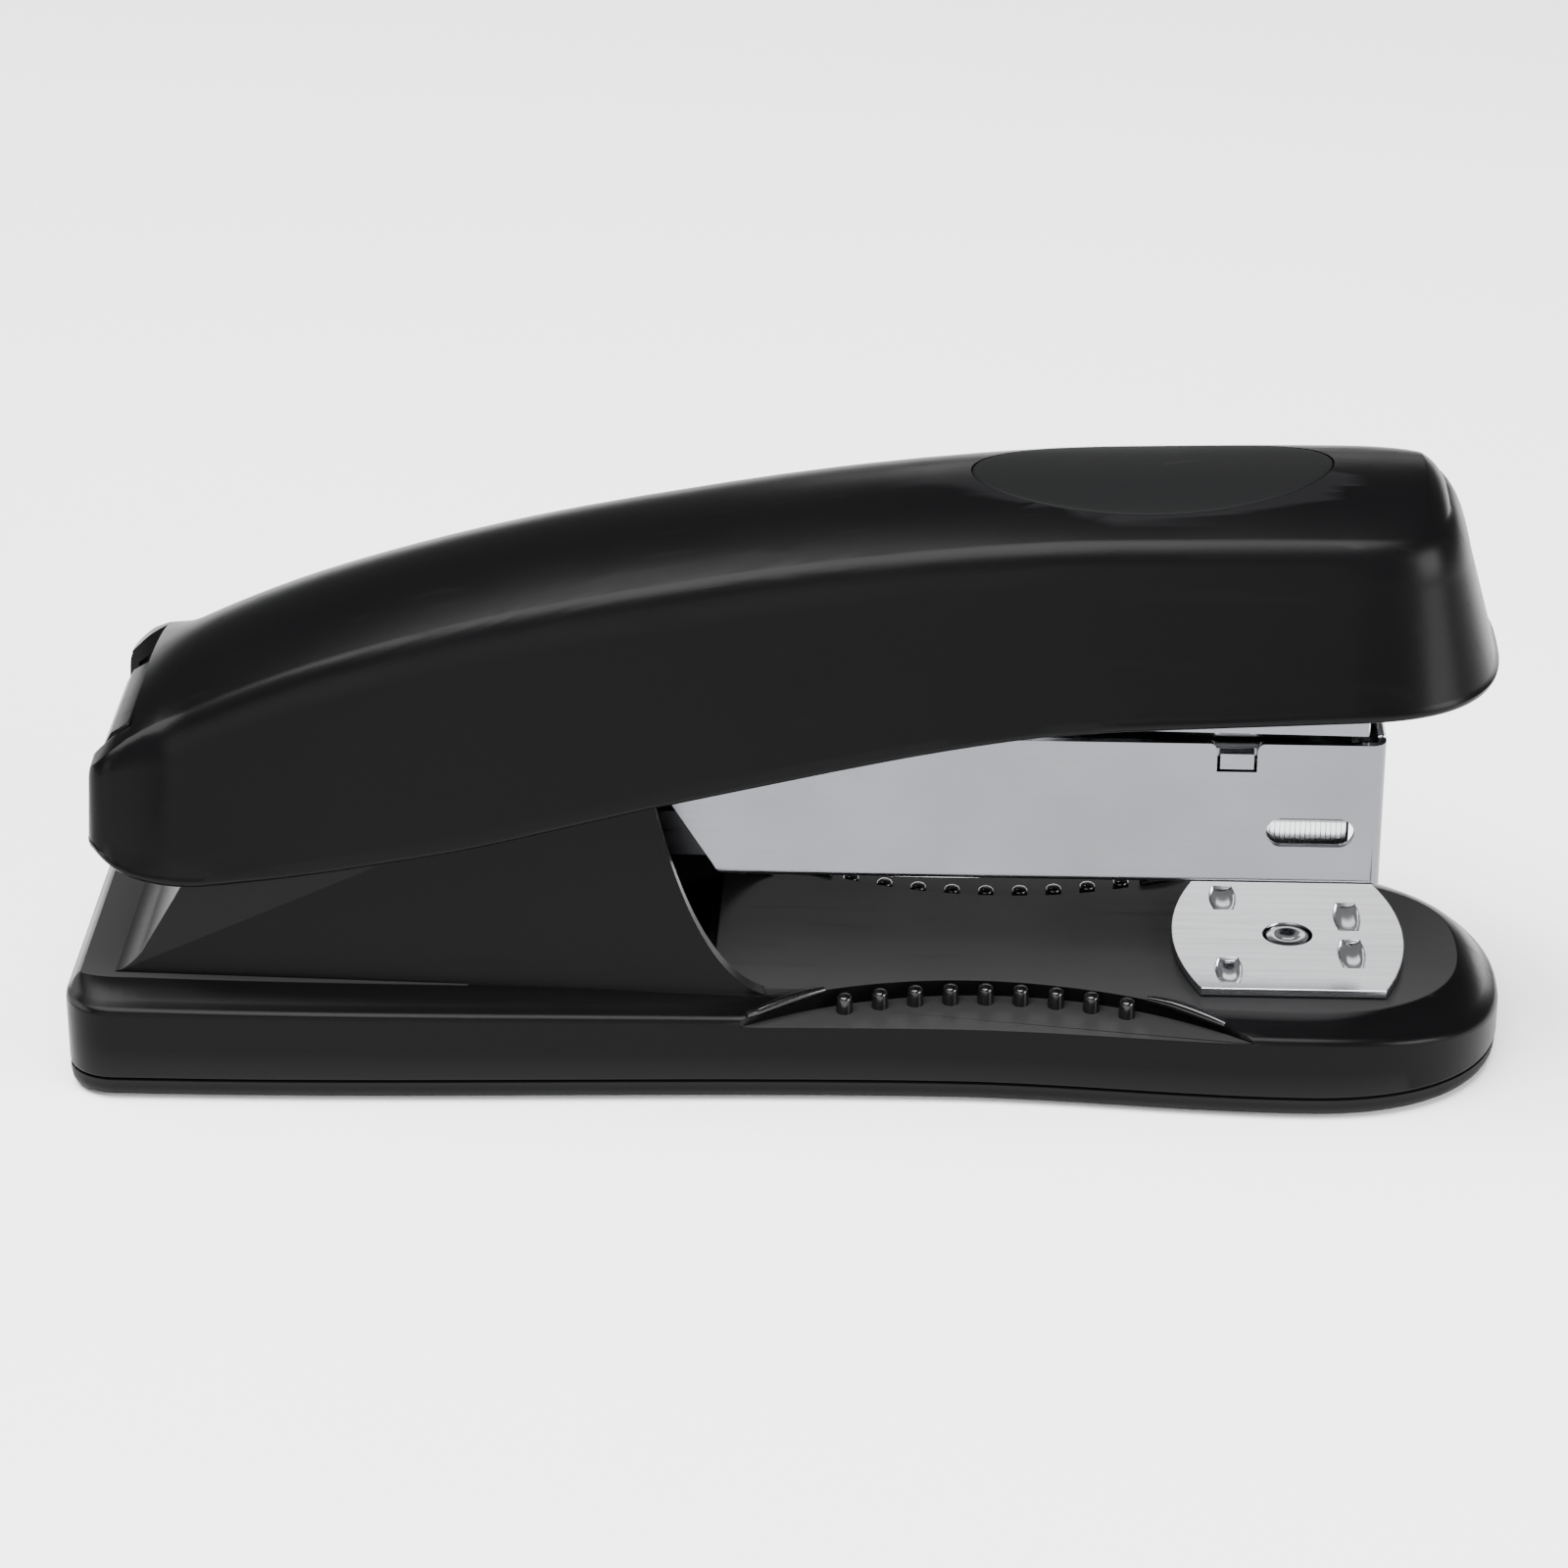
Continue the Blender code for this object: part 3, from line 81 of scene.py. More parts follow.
class StaplerSizes(bpy.types.PropertyGroup):
    """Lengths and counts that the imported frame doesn't give."""

    base_waist_half: length("Base waist", "Half width of the base at its waist", 16.4)
    base_waist_x: length("Waist place", "Where the base is narrowest", 16.0)
    base_corner: length("Base rear corners", "Plan radius of the rear corners", 5.0)
    base_nose: length("Base nose", "Length of the rounded nose", 20.5)
    rim_rear: length("Rear rim height", "Height of the side wall at the rear", 10.4)
    rim_front: length("Front rim height", "Height of the side wall at the nose's start", 9.2)
    rim_drop: length("Nose drop", "How far the rim dips towards the tip of the nose", 2.5)
    rim_radius: length("Rim radius", "Rounding between side wall and band", 0.9)
    deck_rear: length("Rear deck height", "Height of the deck at the rear", 11.9)
    deck_front: length("Front deck height", "Height of the deck at the anvil", 10.0)
    deck_level_x: length("Level deck", "Where the deck becomes level", 28.0)
    band: length("Band width", "Width of the sloped band inside the rim", 4.3)
    base_wall: length("Base wall", "Thickness of the base's side wall", 1.8)
    base_cavity: length("Base cavity", "Height of the ceiling under the deck", 6.0)
    cheek_half: length("Cheek spread", "Half the distance over the two cheeks at their foot", 13.6)
    cheek_wall: length("Cheek wall", "Thickness of a cheek", 1.6)
    pit_floor: length("Pit floor", "Height of the floor between the cheeks", 6.0)
    pit_front: length("Pit front", "Where the pit ends under the deck's rear lip", -8.5)
    grip_centre: length("Grip middle", "Middle of the finger grips along the base", 19.7)
    grip_inner: length("Grip depth", "Nearest the grip comes to the middle line", 9.3)
    grip_radius: length("Grip arc", "Radius of the grip's wall", 42.6)
    grip_floor: length("Grip floor", "Height of the floor of the grips", 8.5)
    nub_pitch: length("Nub pitch", "Distance between the grip's nubs", 3.48)
    nub_radius: length("Nub radius", "Radius of a nub", 0.8)
    handle_corner: length("Handle rear corners", "Plan radius of the handle's rear corners", 3.0)
    handle_nose: length("Handle nose", "Length of the handle's rounded front", 16.9)
    handle_wall: length("Handle wall", "Thickness of the handle cover", 1.8)
    notch_half: length("Roof notch", "Half width of the cut at the roof's rear end", 12.0)
    notch_x: length("Roof end", "Where the roof ends and the wings run on", -63.5)
    wing_low: length("Wing step", "Height below which the wings are thinned for the cheeks", 31.0)
    pad_dish: length("Pad dish", "How far the thumb pad is hollowed", 0.25)
    pad_gap: length("Pad seam", "Seam round the thumb pad", 0.12)
    sheet: length("Sheet steel", "Thickness of the magazine's sheet", 0.8)
    bend: length("Magazine bend", "Outer radius of the magazine's folded edges", 1.5)
    staple_pitch: length("Staple pitch", "Distance between staples in the strip", 0.5)
    nub_count: bpy.props.IntProperty(name="Nubs", description="Nubs in each grip", default=9, min=1)
    view_turn: bpy.props.FloatProperty(name="View turn", description="Camera's turn about the object",
                                       default=math.radians(2.119), subtype="ANGLE")
    view_rise: bpy.props.FloatProperty(name="View rise", description="Camera's rise above the floor",
                                       default=math.radians(26.01), subtype="ANGLE")
    view_distance: length("View distance", "From the camera to the point it looks at", 492.6)
    view_lens: bpy.props.FloatProperty(name="Lens", description="Focal length in mm on a 36 mm sensor",
                                       default=113.6)


class StaplerColours(bpy.types.PropertyGroup):
    """Base colours of the finishes."""

    shell: colour("Shell plastic", "Satin black moulded plastic", (0.0017, 0.0017, 0.0019))
    pad: colour("Pad", "Soft grey pad", (0.0042, 0.0043, 0.0045))
    # deck: painted light, the lighter colour painted on the base's up-facing deck and rear ramp so that they look lit
    deck: colour("Deck", "Matt plastic of the deck and the rear ramp", (0.0190, 0.0190, 0.0195))
    sole: colour("Sole", "Matt black sole", (0.0040, 0.0040, 0.0042))
    chrome: colour("Bright plate", "Bright plated sheet", (0.66, 0.67, 0.69))
    zinc: colour("Zinc sheet", "Bright zinc on the magazine's sheet", (0.150, 0.155, 0.166))
    steel: colour("Steel", "Dull zinc plate", (0.42, 0.42, 0.43))
    spring: colour("Spring steel", "Bare spring wire and strip", (0.50, 0.51, 0.53))
    black_steel: colour("Black steel", "Blackened sheet", (0.030, 0.030, 0.033))
    floor: colour("Floor", "Pale studio floor", (0.93, 0.93, 0.93))


# ---- materials ----------------------------------------------------------------------
class Nodes:
    """A small helper that builds a material's node tree."""

    def __init__(self, name):
        self.material = bpy.data.materials.new(name)
        self.material.use_nodes = True
        self.tree = self.material.node_tree
        self.shader = self.tree.nodes["Principled BSDF"]
        self.place = self.new("ShaderNodeTexCoord").outputs["Object"]

    def new(self, kind, **settings):
        node = self.tree.nodes.new(kind)
        for key, value in settings.items():
            setattr(node, key, value)
        return node

    def link(self, source, target):
        self.tree.links.new(source, target)

    def stretched(self, scale):
        """The piece's own coordinates, stretched."""
        mapping = self.new("ShaderNodeMapping")
        mapping.inputs["Scale"].default_value = scale
        self.link(self.place, mapping.inputs["Vector"])
        return mapping.outputs["Vector"]

    def noise(self, scale, detail=3.0, rough=0.5, vector=None):
        node = self.new("ShaderNodeTexNoise")
        node.inputs["Scale"].default_value = scale
        node.inputs["Detail"].default_value = detail
        node.inputs["Roughness"].default_value = rough
        self.link(vector or self.place, node.inputs["Vector"])
        return node.outputs["Fac"]

    def span(self, value, low, high, start=0.3, end=0.7):
        """Turn a 0 to 1 pattern into a value from low to high."""
        node = self.new("ShaderNodeMapRange")
        for key, number in (("From Min", start), ("From Max", end), ("To Min", low), ("To Max", high)):
            node.inputs[key].default_value = number
        self.link(value, node.inputs["Value"])
        return node.outputs["Result"]

    def tint(self, value, first, second):
        """Mix from a first colour, or another node's output, to a second colour."""
        node = self.new("ShaderNodeMix", data_type="RGBA")
        self.link(value, node.inputs[0])
        if isinstance(first, tuple):
            node.inputs["A"].default_value = (*first, 1.0)
        else:
            self.link(first, node.inputs["A"])
        node.inputs["B"].default_value = (*second, 1.0)
        return node.outputs["Result"]

    def maths(self, operation, first, second):
        node = self.new("ShaderNodeMath", operation=operation)
        self.link(first, node.inputs[0])
        self.link(second, node.inputs[1])
        return node.outputs["Value"]

    def bump(self, height, strength, distance, normal=None):
        node = self.new("ShaderNodeBump")
        node.inputs["Strength"].default_value = strength
        node.inputs["Distance"].default_value = distance
        self.link(height, node.inputs["Height"])
        if normal:
            self.link(normal, node.inputs["Normal"])
        return node.outputs["Normal"]


def plastic(name, base, rough, grain, grain_depth, scuffs=0.06, shine=0.055, flat=None):
    """Moulded plastic: spark-eroded grain, faint handling marks and edges rubbed a little brighter.

    A second colour, when given, is painted light: it goes on faces that point straight up and on faces that slope up
    towards the rear, so that the deck and the rear ramp look lit.
    """
    nodes = Nodes(name)
    shader = nodes.shader
    fine = nodes.noise(grain, 2.0, 0.6)
    soft = nodes.noise(60, 3.0)
    scratch = nodes.noise(900, 2.0, 0.5, nodes.stretched((0.06, 1.0, 0.5)))
    worn = nodes.new("ShaderNodeNewGeometry").outputs["Pointiness"]
    edge = nodes.span(worn, 0.0, 1.0, 0.53, 0.62)
    lighter = tuple(min(1.0, part * 2.0 + 0.002) for part in base)
    paint = nodes.tint(edge, base, lighter)
    # Painted light: faces that point up, and faces that slope up towards the rear, take the second colour so that
    # they look lit.
    if flat:
        facing = nodes.new("ShaderNodeSeparateXYZ")
        nodes.link(nodes.new("ShaderNodeNewGeometry").outputs["Normal"], facing.inputs["Vector"])
        level = nodes.span(facing.outputs["Z"], 0.0, 1.0, 0.975, 0.992)
        ramp = nodes.maths("MULTIPLY", nodes.span(facing.outputs["X"], 1.0, 0.0, -0.5, -0.3),
                           nodes.span(facing.outputs["Z"], 0.0, 1.0, 0.25, 0.4))
        paint = nodes.tint(nodes.maths("MAXIMUM", level, ramp), paint, flat)
    nodes.link(paint, shader.inputs["Base Color"])
    gloss = nodes.maths("ADD", nodes.span(soft, rough - scuffs / 2, rough + scuffs / 2),
                        nodes.span(scratch, -scuffs, 0.0, 0.62, 0.70))
    nodes.link(gloss, shader.inputs["Roughness"])
    nodes.link(nodes.bump(fine, 0.35, grain_depth), shader.inputs["Normal"])
    shader.inputs["Specular IOR Level"].default_value = shine
    return nodes.material


def plated(name, base, rough, line=0.05, wave=0.00002):
    """Plated or bare sheet: rolling lines, slight tarnish and a faintly uneven surface."""
    nodes = Nodes(name)
    shader = nodes.shader
    lines = nodes.noise(1500, 3.0, 0.6, nodes.stretched((0.04, 1.0, 1.0)))
    cloud = nodes.noise(90, 4.0)
    dull = tuple(part * 0.86 for part in base)
    nodes.link(nodes.tint(nodes.span(cloud, 0.0, 1.0), dull, base), shader.inputs["Base Color"])
    gloss = nodes.maths("ADD", nodes.span(cloud, rough * 0.85, rough * 1.15), nodes.span(lines, -line, line))
    nodes.link(gloss, shader.inputs["Roughness"])
    rolled = nodes.bump(lines, 0.12, 0.00001)
    nodes.link(nodes.bump(nodes.noise(140, 1.0), 0.25, wave, rolled), shader.inputs["Normal"])
    shader.inputs["Metallic"].default_value = 1.0
    return nodes.material


def studio_surface(name, base):
    """A painted studio floor with the faintest unevenness."""
    nodes = Nodes(name)
    near = tuple(part * 0.985 for part in base)
    nodes.link(nodes.tint(nodes.noise(6, 2.0), near, base), nodes.shader.inputs["Base Color"])
    nodes.shader.inputs["Roughness"].default_value = 0.9
    nodes.shader.inputs["Specular IOR Level"].default_value = 0.1
    return nodes.material


LOOKS = {
    "satin_black": lambda c: plastic("satin_black_plastic", tuple(c.shell), 0.36, 5200, 0.000012),
    # the base's look paints light onto its up-facing deck and rear ramp
    "base_black": lambda c: plastic("base_black_plastic", tuple(c.shell), 0.36, 5200, 0.000012, flat=tuple(c.deck)),
    "polished_black": lambda c: plastic("polished_black_plastic", tuple(c.shell), 0.17, 5200, 0.000004, 0.03, 0.35),
    "soft_grey": lambda c: plastic("soft_grey_pad", tuple(c.pad), 0.62, 3800, 0.00003, 0.04),
    "sole_rubber": lambda c: plastic("sole_rubber", tuple(c.sole), 0.58, 3000, 0.00003),
    "pusher_plastic": lambda c: plastic("pusher_plastic", tuple(c.sole), 0.28, 6000, 0.00001),
    "chrome": lambda c: plated("bright_plate", tuple(c.chrome), 0.16),
    "zinc_sheet": lambda c: plated("zinc_sheet", tuple(c.zinc), 0.24),
    "spring_steel": lambda c: plated("spring_steel", tuple(c.spring), 0.26),
    "staple_wire": lambda c: plated("staple_wire", tuple(c.chrome), 0.24),
    "black_steel": lambda c: plated("black_steel", tuple(c.black_steel), 0.34),
    "zinc_steel": lambda c: plated("zinc_steel", tuple(c.steel), 0.36, 0.07),
}


def look(slot):
    """The material of one of the looks, made once."""
    name = "look_" + slot
    if name not in bpy.data.materials:
        made = LOOKS[slot](bpy.context.scene.stapler_colours)
        made.name = name
    return bpy.data.materials[name]


# ---- shapes -------------------------------------------------------------------------
def new_object(name, mesh):
    item = bpy.data.objects.new(name, mesh)
    bpy.context.scene.collection.objects.link(item)
    return item


def from_bmesh(name, shape):
    bmesh.ops.recalc_face_normals(shape, faces=shape.faces)
    mesh = bpy.data.meshes.new(name)
    shape.to_mesh(mesh)
    shape.free()
    return new_object(name, mesh)


def prism(name, outline, low, high, axis="Y"):
    """A flat outline given thickness: (x, z) across Y, (x, y) across Z or (y, z) across X."""
    at = {"Y": lambda a, b, c: (a, c, b), "Z": lambda a, b, c: (a, b, c), "X": lambda a, b, c: (c, a, b)}[axis]
    shape = bmesh.new()
    near = [shape.verts.new(at(a, b, low)) for a, b in outline]
    far = [shape.verts.new(at(a, b, high)) for a, b in outline]
    shape.faces.new(near)
    shape.faces.new(far[::-1])
    for index in range(len(near)):
        after = (index + 1) % len(near)
        shape.faces.new((near[index], far[index], far[after], near[after]))
    return from_bmesh(name, shape)


def block(name, low, high):
    low, high = Vector(low), Vector(high)
    shape = bmesh.new()
    bmesh.ops.create_cube(shape, size=1.0)
    bmesh.ops.scale(shape, vec=high - low, verts=shape.verts)
    bmesh.ops.translate(shape, vec=(low + high) / 2, verts=shape.verts)
    return from_bmesh(name, shape)


def rod(name, radius, start, end, sides=48):
    start, end = Vector(start), Vector(end)
    shape = bmesh.new()
    bmesh.ops.create_cone(shape, cap_ends=True, segments=sides, radius1=radius, radius2=radius,
                          depth=(end - start).length)
    turn = Vector((0, 0, 1)).rotation_difference(end - start).to_matrix().to_4x4()
    bmesh.ops.transform(shape, matrix=Matrix.Translation((start + end) / 2) @ turn, verts=shape.verts)
    return from_bmesh(name, shape)


def loft(name, rings):
    """Join half outlines (x, y, z) into a closed body, mirrored about Y = 0."""
    shape = bmesh.new()
    rows = []
    for ring in rings:
        near = [shape.verts.new(co) for co in ring]
        far = [shape.verts.new((x, -y, z)) for x, y, z in ring[1:-1]]
        rows.append(near + far[::-1])
    for low, high in zip(rows[:-1], rows[1:]):
        for index in range(len(low)):
            after = (index + 1) % len(low)
            shape.faces.new((low[index], low[after], high[after], high[index]))
    bmesh.ops.remove_doubles(shape, verts=shape.verts, dist=2e-6)
    bmesh.ops.dissolve_degenerate(shape, dist=1e-7, edges=shape.edges)
    return from_bmesh(name, shape)


def turned(name, profile, centre, sides=48):
    """A turned piece from (radius, height) points that start and end on its axis."""
    shape = bmesh.new()
    ring = [shape.verts.new((radius, 0, height)) for radius, height in profile]
    edges = [shape.edges.new(pair) for pair in zip(ring[:-1], ring[1:])]
    bmesh.ops.spin(shape, geom=ring + edges, cent=(0, 0, 0), axis=(0, 0, 1), angle=2 * math.pi, steps=sides)
    bmesh.ops.remove_doubles(shape, verts=shape.verts, dist=1e-6)
    bmesh.ops.translate(shape, vec=(centre[0], centre[1], 0), verts=shape.verts)
    return from_bmesh(name, shape)


def wire(name, points, radius, rings=3, tips=None):
    """A tube along a line of points; tips gives its radius at each point as a share."""
    curve = bpy.data.curves.new(name, "CURVE")
    curve.dimensions = "3D"
    curve.bevel_depth = radius
    curve.bevel_resolution = rings
    curve.use_fill_caps = True
    spline = curve.splines.new("POLY")
    spline.points.add(len(points) - 1)
    for index, co in enumerate(points):
        spline.points[index].co = (*co, 1)
        spline.points[index].radius = tips[index] if tips else 1.0
    source = new_object(name, curve)
    bpy.context.view_layer.update()
    mesh = bpy.data.meshes.new_from_object(source.evaluated_get(bpy.context.evaluated_depsgraph_get()))
    bpy.data.objects.remove(source, do_unlink=True)
    shape = bmesh.new()
    shape.from_mesh(mesh)
    bmesh.ops.remove_doubles(shape, verts=shape.verts, dist=1e-7)
    return from_bmesh(name, shape)


def settle(item):
    """Turn a piece's modifiers into plain mesh."""
    bpy.context.view_layer.update()
    evaluated = item.evaluated_get(bpy.context.evaluated_depsgraph_get())
    mesh = bpy.data.meshes.new_from_object(evaluated)
    item.modifiers.clear()
    item.data = mesh
    return item


def boolean(item, tool, operation="DIFFERENCE", solver="EXACT"):
    modifier = item.modifiers.new(operation, "BOOLEAN")
    modifier.operation = operation
    modifier.solver = solver
    modifier.object = tool
    settle(item)
    bpy.data.objects.remove(tool, do_unlink=True)
    return item


def round_edges(item, width, segments=3, angle=35, merge_half=1.0):
    """Merge the flat faces that lie near the middle plane and round every edge sharper than an angle."""
    shape = bmesh.new()
    shape.from_mesh(item.data)
    bmesh.ops.remove_doubles(shape, verts=shape.verts, dist=2e-6)
    inner = [vertex for vertex in shape.verts if abs(vertex.co.y) < merge_half]
    chosen = set(inner)
    edges = [edge for edge in shape.edges if all(vertex in chosen for vertex in edge.verts)]
    bmesh.ops.dissolve_limit(shape, angle_limit=math.radians(0.6), verts=inner, edges=edges)
    shape.to_mesh(item.data)
    shape.free()
    bevel = item.modifiers.new("rounding", "BEVEL")
    bevel.width = width
    bevel.segments = segments
    bevel.limit_method = "ANGLE"
    bevel.angle_limit = math.radians(angle)
    bevel.miter_outer = "MITER_ARC"
    return settle(item)


def calm_flats(item, least):
    """Give every large flat face a narrow border, so that its shading stays even."""
    shape = bmesh.new()
    shape.from_mesh(item.data)
    large = [face for face in shape.faces if face.calc_area() > least and len(face.verts) > 4]
    bmesh.ops.inset_individual(shape, faces=large, thickness=0.12 * MM, use_even_offset=True)
    shape.to_mesh(item.data)
    shape.free()


def finish(item, slot, body, *nodes, angle=40, paint=None):
    """Shade, paint and hand a piece to the frame."""
    item.data.materials.clear()
    item.data.materials.append(look(paint or slot))
    item.data.shade_smooth()
    item.data.set_sharp_from_angle(angle=math.radians(angle))
    even = item.modifiers.new("even_normals", "WEIGHTED_NORMAL")
    even.keep_sharp = True
    settle(item)
    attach(item, body)
    if nodes:
        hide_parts(*nodes)
    return item


def arc(centre, radius, start, end, count):
    angles = [math.radians(start + (end - start) * step / count) for step in range(count + 1)]
    return [(centre[0] + radius * math.cos(a), centre[1] + radius * math.sin(a)) for a in angles]


def bezier(first, pull, last, count):
    made = []
    for step in range(count + 1):
        t = step / count
        made.append(tuple((1 - t) ** 2 * a + 2 * t * (1 - t) * b + t * t * c
                          for a, b, c in zip(first, pull, last)))
    return made


def ease(t):
    t = min(max(t, 0.0), 1.0)
    return t * t * (3 - 2 * t)


def along(stations, x):
    """A smooth line through (x, z) stations in millimetres, read at x in metres."""
    x = min(max(x / MM, stations[0][0]), stations[-1][0])
    index = max(i for i in range(len(stations) - 1) if stations[i][0] <= x)
    (x0, z0), (x1, z1) = stations[index:index + 2]

    def slope(i):
        i0, i1 = max(i - 1, 0), min(i + 1, len(stations) - 1)
        return (stations[i1][1] - stations[i0][1]) / (stations[i1][0] - stations[i0][0])

    span, t = x1 - x0, (x - x0) / (x1 - x0)
    start, end = slope(index) * span, slope(index + 1) * span
    curve = z0 + t * start + t * t * (3 * (z1 - z0) - 2 * start - end) \
        + t ** 3 * (2 * (z0 - z1) + start + end)
    return curve * MM


def half_outline(rear_x, front_x, half_width, corner, nose, power, steps=(8, 70, 34)):
    """Half of a plan outline, from the middle of its rear end round to the tip of its nose."""
    corner_steps, side_steps, nose_steps = steps
    rear_half = half_width(rear_x + corner)
    points = [(rear_x, (rear_half - corner) * step / 4) for step in range(4)]
    points += arc((rear_x + corner, rear_half - corner), corner, 180, 90, corner_steps)
    nose_x = front_x - nose
    for step in range(1, side_steps + 1):
        x = rear_x + corner + (nose_x - rear_x - corner) * step / side_steps
        points.append((x, half_width(x)))
    nose_half = half_width(nose_x)
    for step in range(1, nose_steps + 1):
        angle = math.pi / 2 * (1 - step / nose_steps)
        points.append((nose_x + nose * math.cos(angle) ** (2 / power),
                       nose_half * math.sin(angle) ** (2 / power) if step < nose_steps else 0.0))
    return points


REAR_LEAN = 0.35                  # share of an inset that the rear ends keep along X


def inset_outline(points, inset):
    """The same half outline moved inwards by a function of x; the rear end moves by only a share of it."""
    moved = []
    for index, (x, y) in enumerate(points):
        before = points[index - 1] if index else (points[1][0], -points[1][1])
        last = index == len(points) - 1
        after = (points[-2][0], -points[-2][1]) if last else points[index + 1]
        run = Vector((after[0] - before[0], after[1] - before[1])).normalized()
        out = Vector((-run.y, run.x))
        lean = REAR_LEAN if out.x < 0 else 1.0
        depth = inset(x)
        moved.append((x - out.x * depth * lean, max(y - out.y * depth, 0.0)))
    return moved


def ring(outline, inset, height):
    """A half outline moved inwards by a length, or by a function of x, and given its height."""
    depth = inset if callable(inset) else lambda x: inset
    return [(x, y, height(x)) for x, y in inset_outline(outline, depth)]


def flat(level):
    return lambda x: level


def middle_line(points):
    return [(x, 0.0, z) for x, y, z in points]


# ---- base ---------------------------------------------------------------------------
class BaseForm:
    """The base's plan outline and the heights of its rim and deck."""

    def __init__(self, sizes):
        self.sizes = sizes
        low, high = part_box("base_shell")
        self.rear_x, self.front_x = low[0], high[0]
        self.low_z = low[2]
        self.rear_half = high[1]
        self.front_half = self.rear_half - 0.2 * MM
        self.nose_x = self.front_x - sizes.base_nose
        self.outline = half_outline(self.rear_x, self.front_x, self.half, sizes.base_corner, sizes.base_nose, 2.3)

    def half(self, x):
        waist_x, waist = self.sizes.base_waist_x, self.sizes.base_waist_half
        if x < waist_x:
            start = self.rear_x + 10 * MM
            return self.rear_half + (waist - self.rear_half) * ease((x - start) / (waist_x - start))
        return waist + (self.front_half - waist) * ease((x - waist_x) / (self.nose_x - waist_x))

    def sloped(self, rear, front, x):
        share = min(max((x - self.rear_x) / (self.sizes.deck_level_x - self.rear_x), 0.0), 1.0)
        return rear + (front - rear) * share

    def rim(self, x):
        nose = max(x - self.nose_x, 0.0) / self.sizes.base_nose
        return self.sloped(self.sizes.rim_rear, self.sizes.rim_front, x) - self.sizes.rim_drop * nose * nose

    def deck(self, x):
        return self.sloped(self.sizes.deck_rear, self.sizes.deck_front, x)

    def band_height(self, x, y):
        """Height of the base's top at a point on its band or deck."""
        share = (self.half(x) - abs(y) - self.sizes.rim_radius) / (self.sizes.band - self.sizes.rim_radius)
        share = min(max(share, 0.0), 1.0)
        return self.rim(x) + (self.deck(x) - self.rim(x)) * share

    def saddle(self):
        """Side view of the cheeks: rear ramp, hidden top and front sweep."""
        low = self.sizes.pit_floor - 1.5 * MM
        rear = self.rear_x + 4.5 * MM
        foot = bezier((rear, self.deck(rear) - 0.1 * MM), (-65.4 * MM, self.deck(rear)), (-63.6 * MM, 14.0 * MM), 6)
        ramp = [(-60.2 * MM, 19.8 * MM), (-57.6 * MM, 24.4 * MM)]
        top = [(-50 * MM, 28.6 * MM), (-24 * MM, 31.0 * MM)]
        sweep = bezier((-13.2 * MM, 32.5 * MM), (-9.0 * MM, 12.0 * MM), (-1.5 * MM, 10.4 * MM), 28)
        return [(rear, low)] + foot + ramp + top + sweep + [(-1.5 * MM, 9 * MM), (self.sizes.pit_front + 4 * MM, low)]

    def pit(self):
        """Side view of the space between the cheeks, up to the deck's rounded rear lip."""
        front, high = self.sizes.pit_front, 45 * MM
        lip = front + self.sizes.cheek_wall
        return [(-62.4 * MM, self.sizes.pit_floor), (front, self.sizes.pit_floor)] \
            + bezier((front, 9.2 * MM), (front, self.deck(lip)), (lip, self.deck(lip) + 0.05 * MM), 6) \
            + [(lip, high), (-60.0 * MM, high), (-60.0 * MM, 22.7 * MM), (-57.6 * MM, 22.2 * MM),
               (-59.0 * MM, 19.6 * MM), (-62.4 * MM, 13.4 * MM)]

    def grip_arc(self, offset, start, end, count):
        """Points along a grip's wall, moved outwards by offset."""
        centre = (self.sizes.grip_centre, self.sizes.grip_inner + self.sizes.grip_radius)
        return arc(centre, self.sizes.grip_radius - offset, start, end, count)


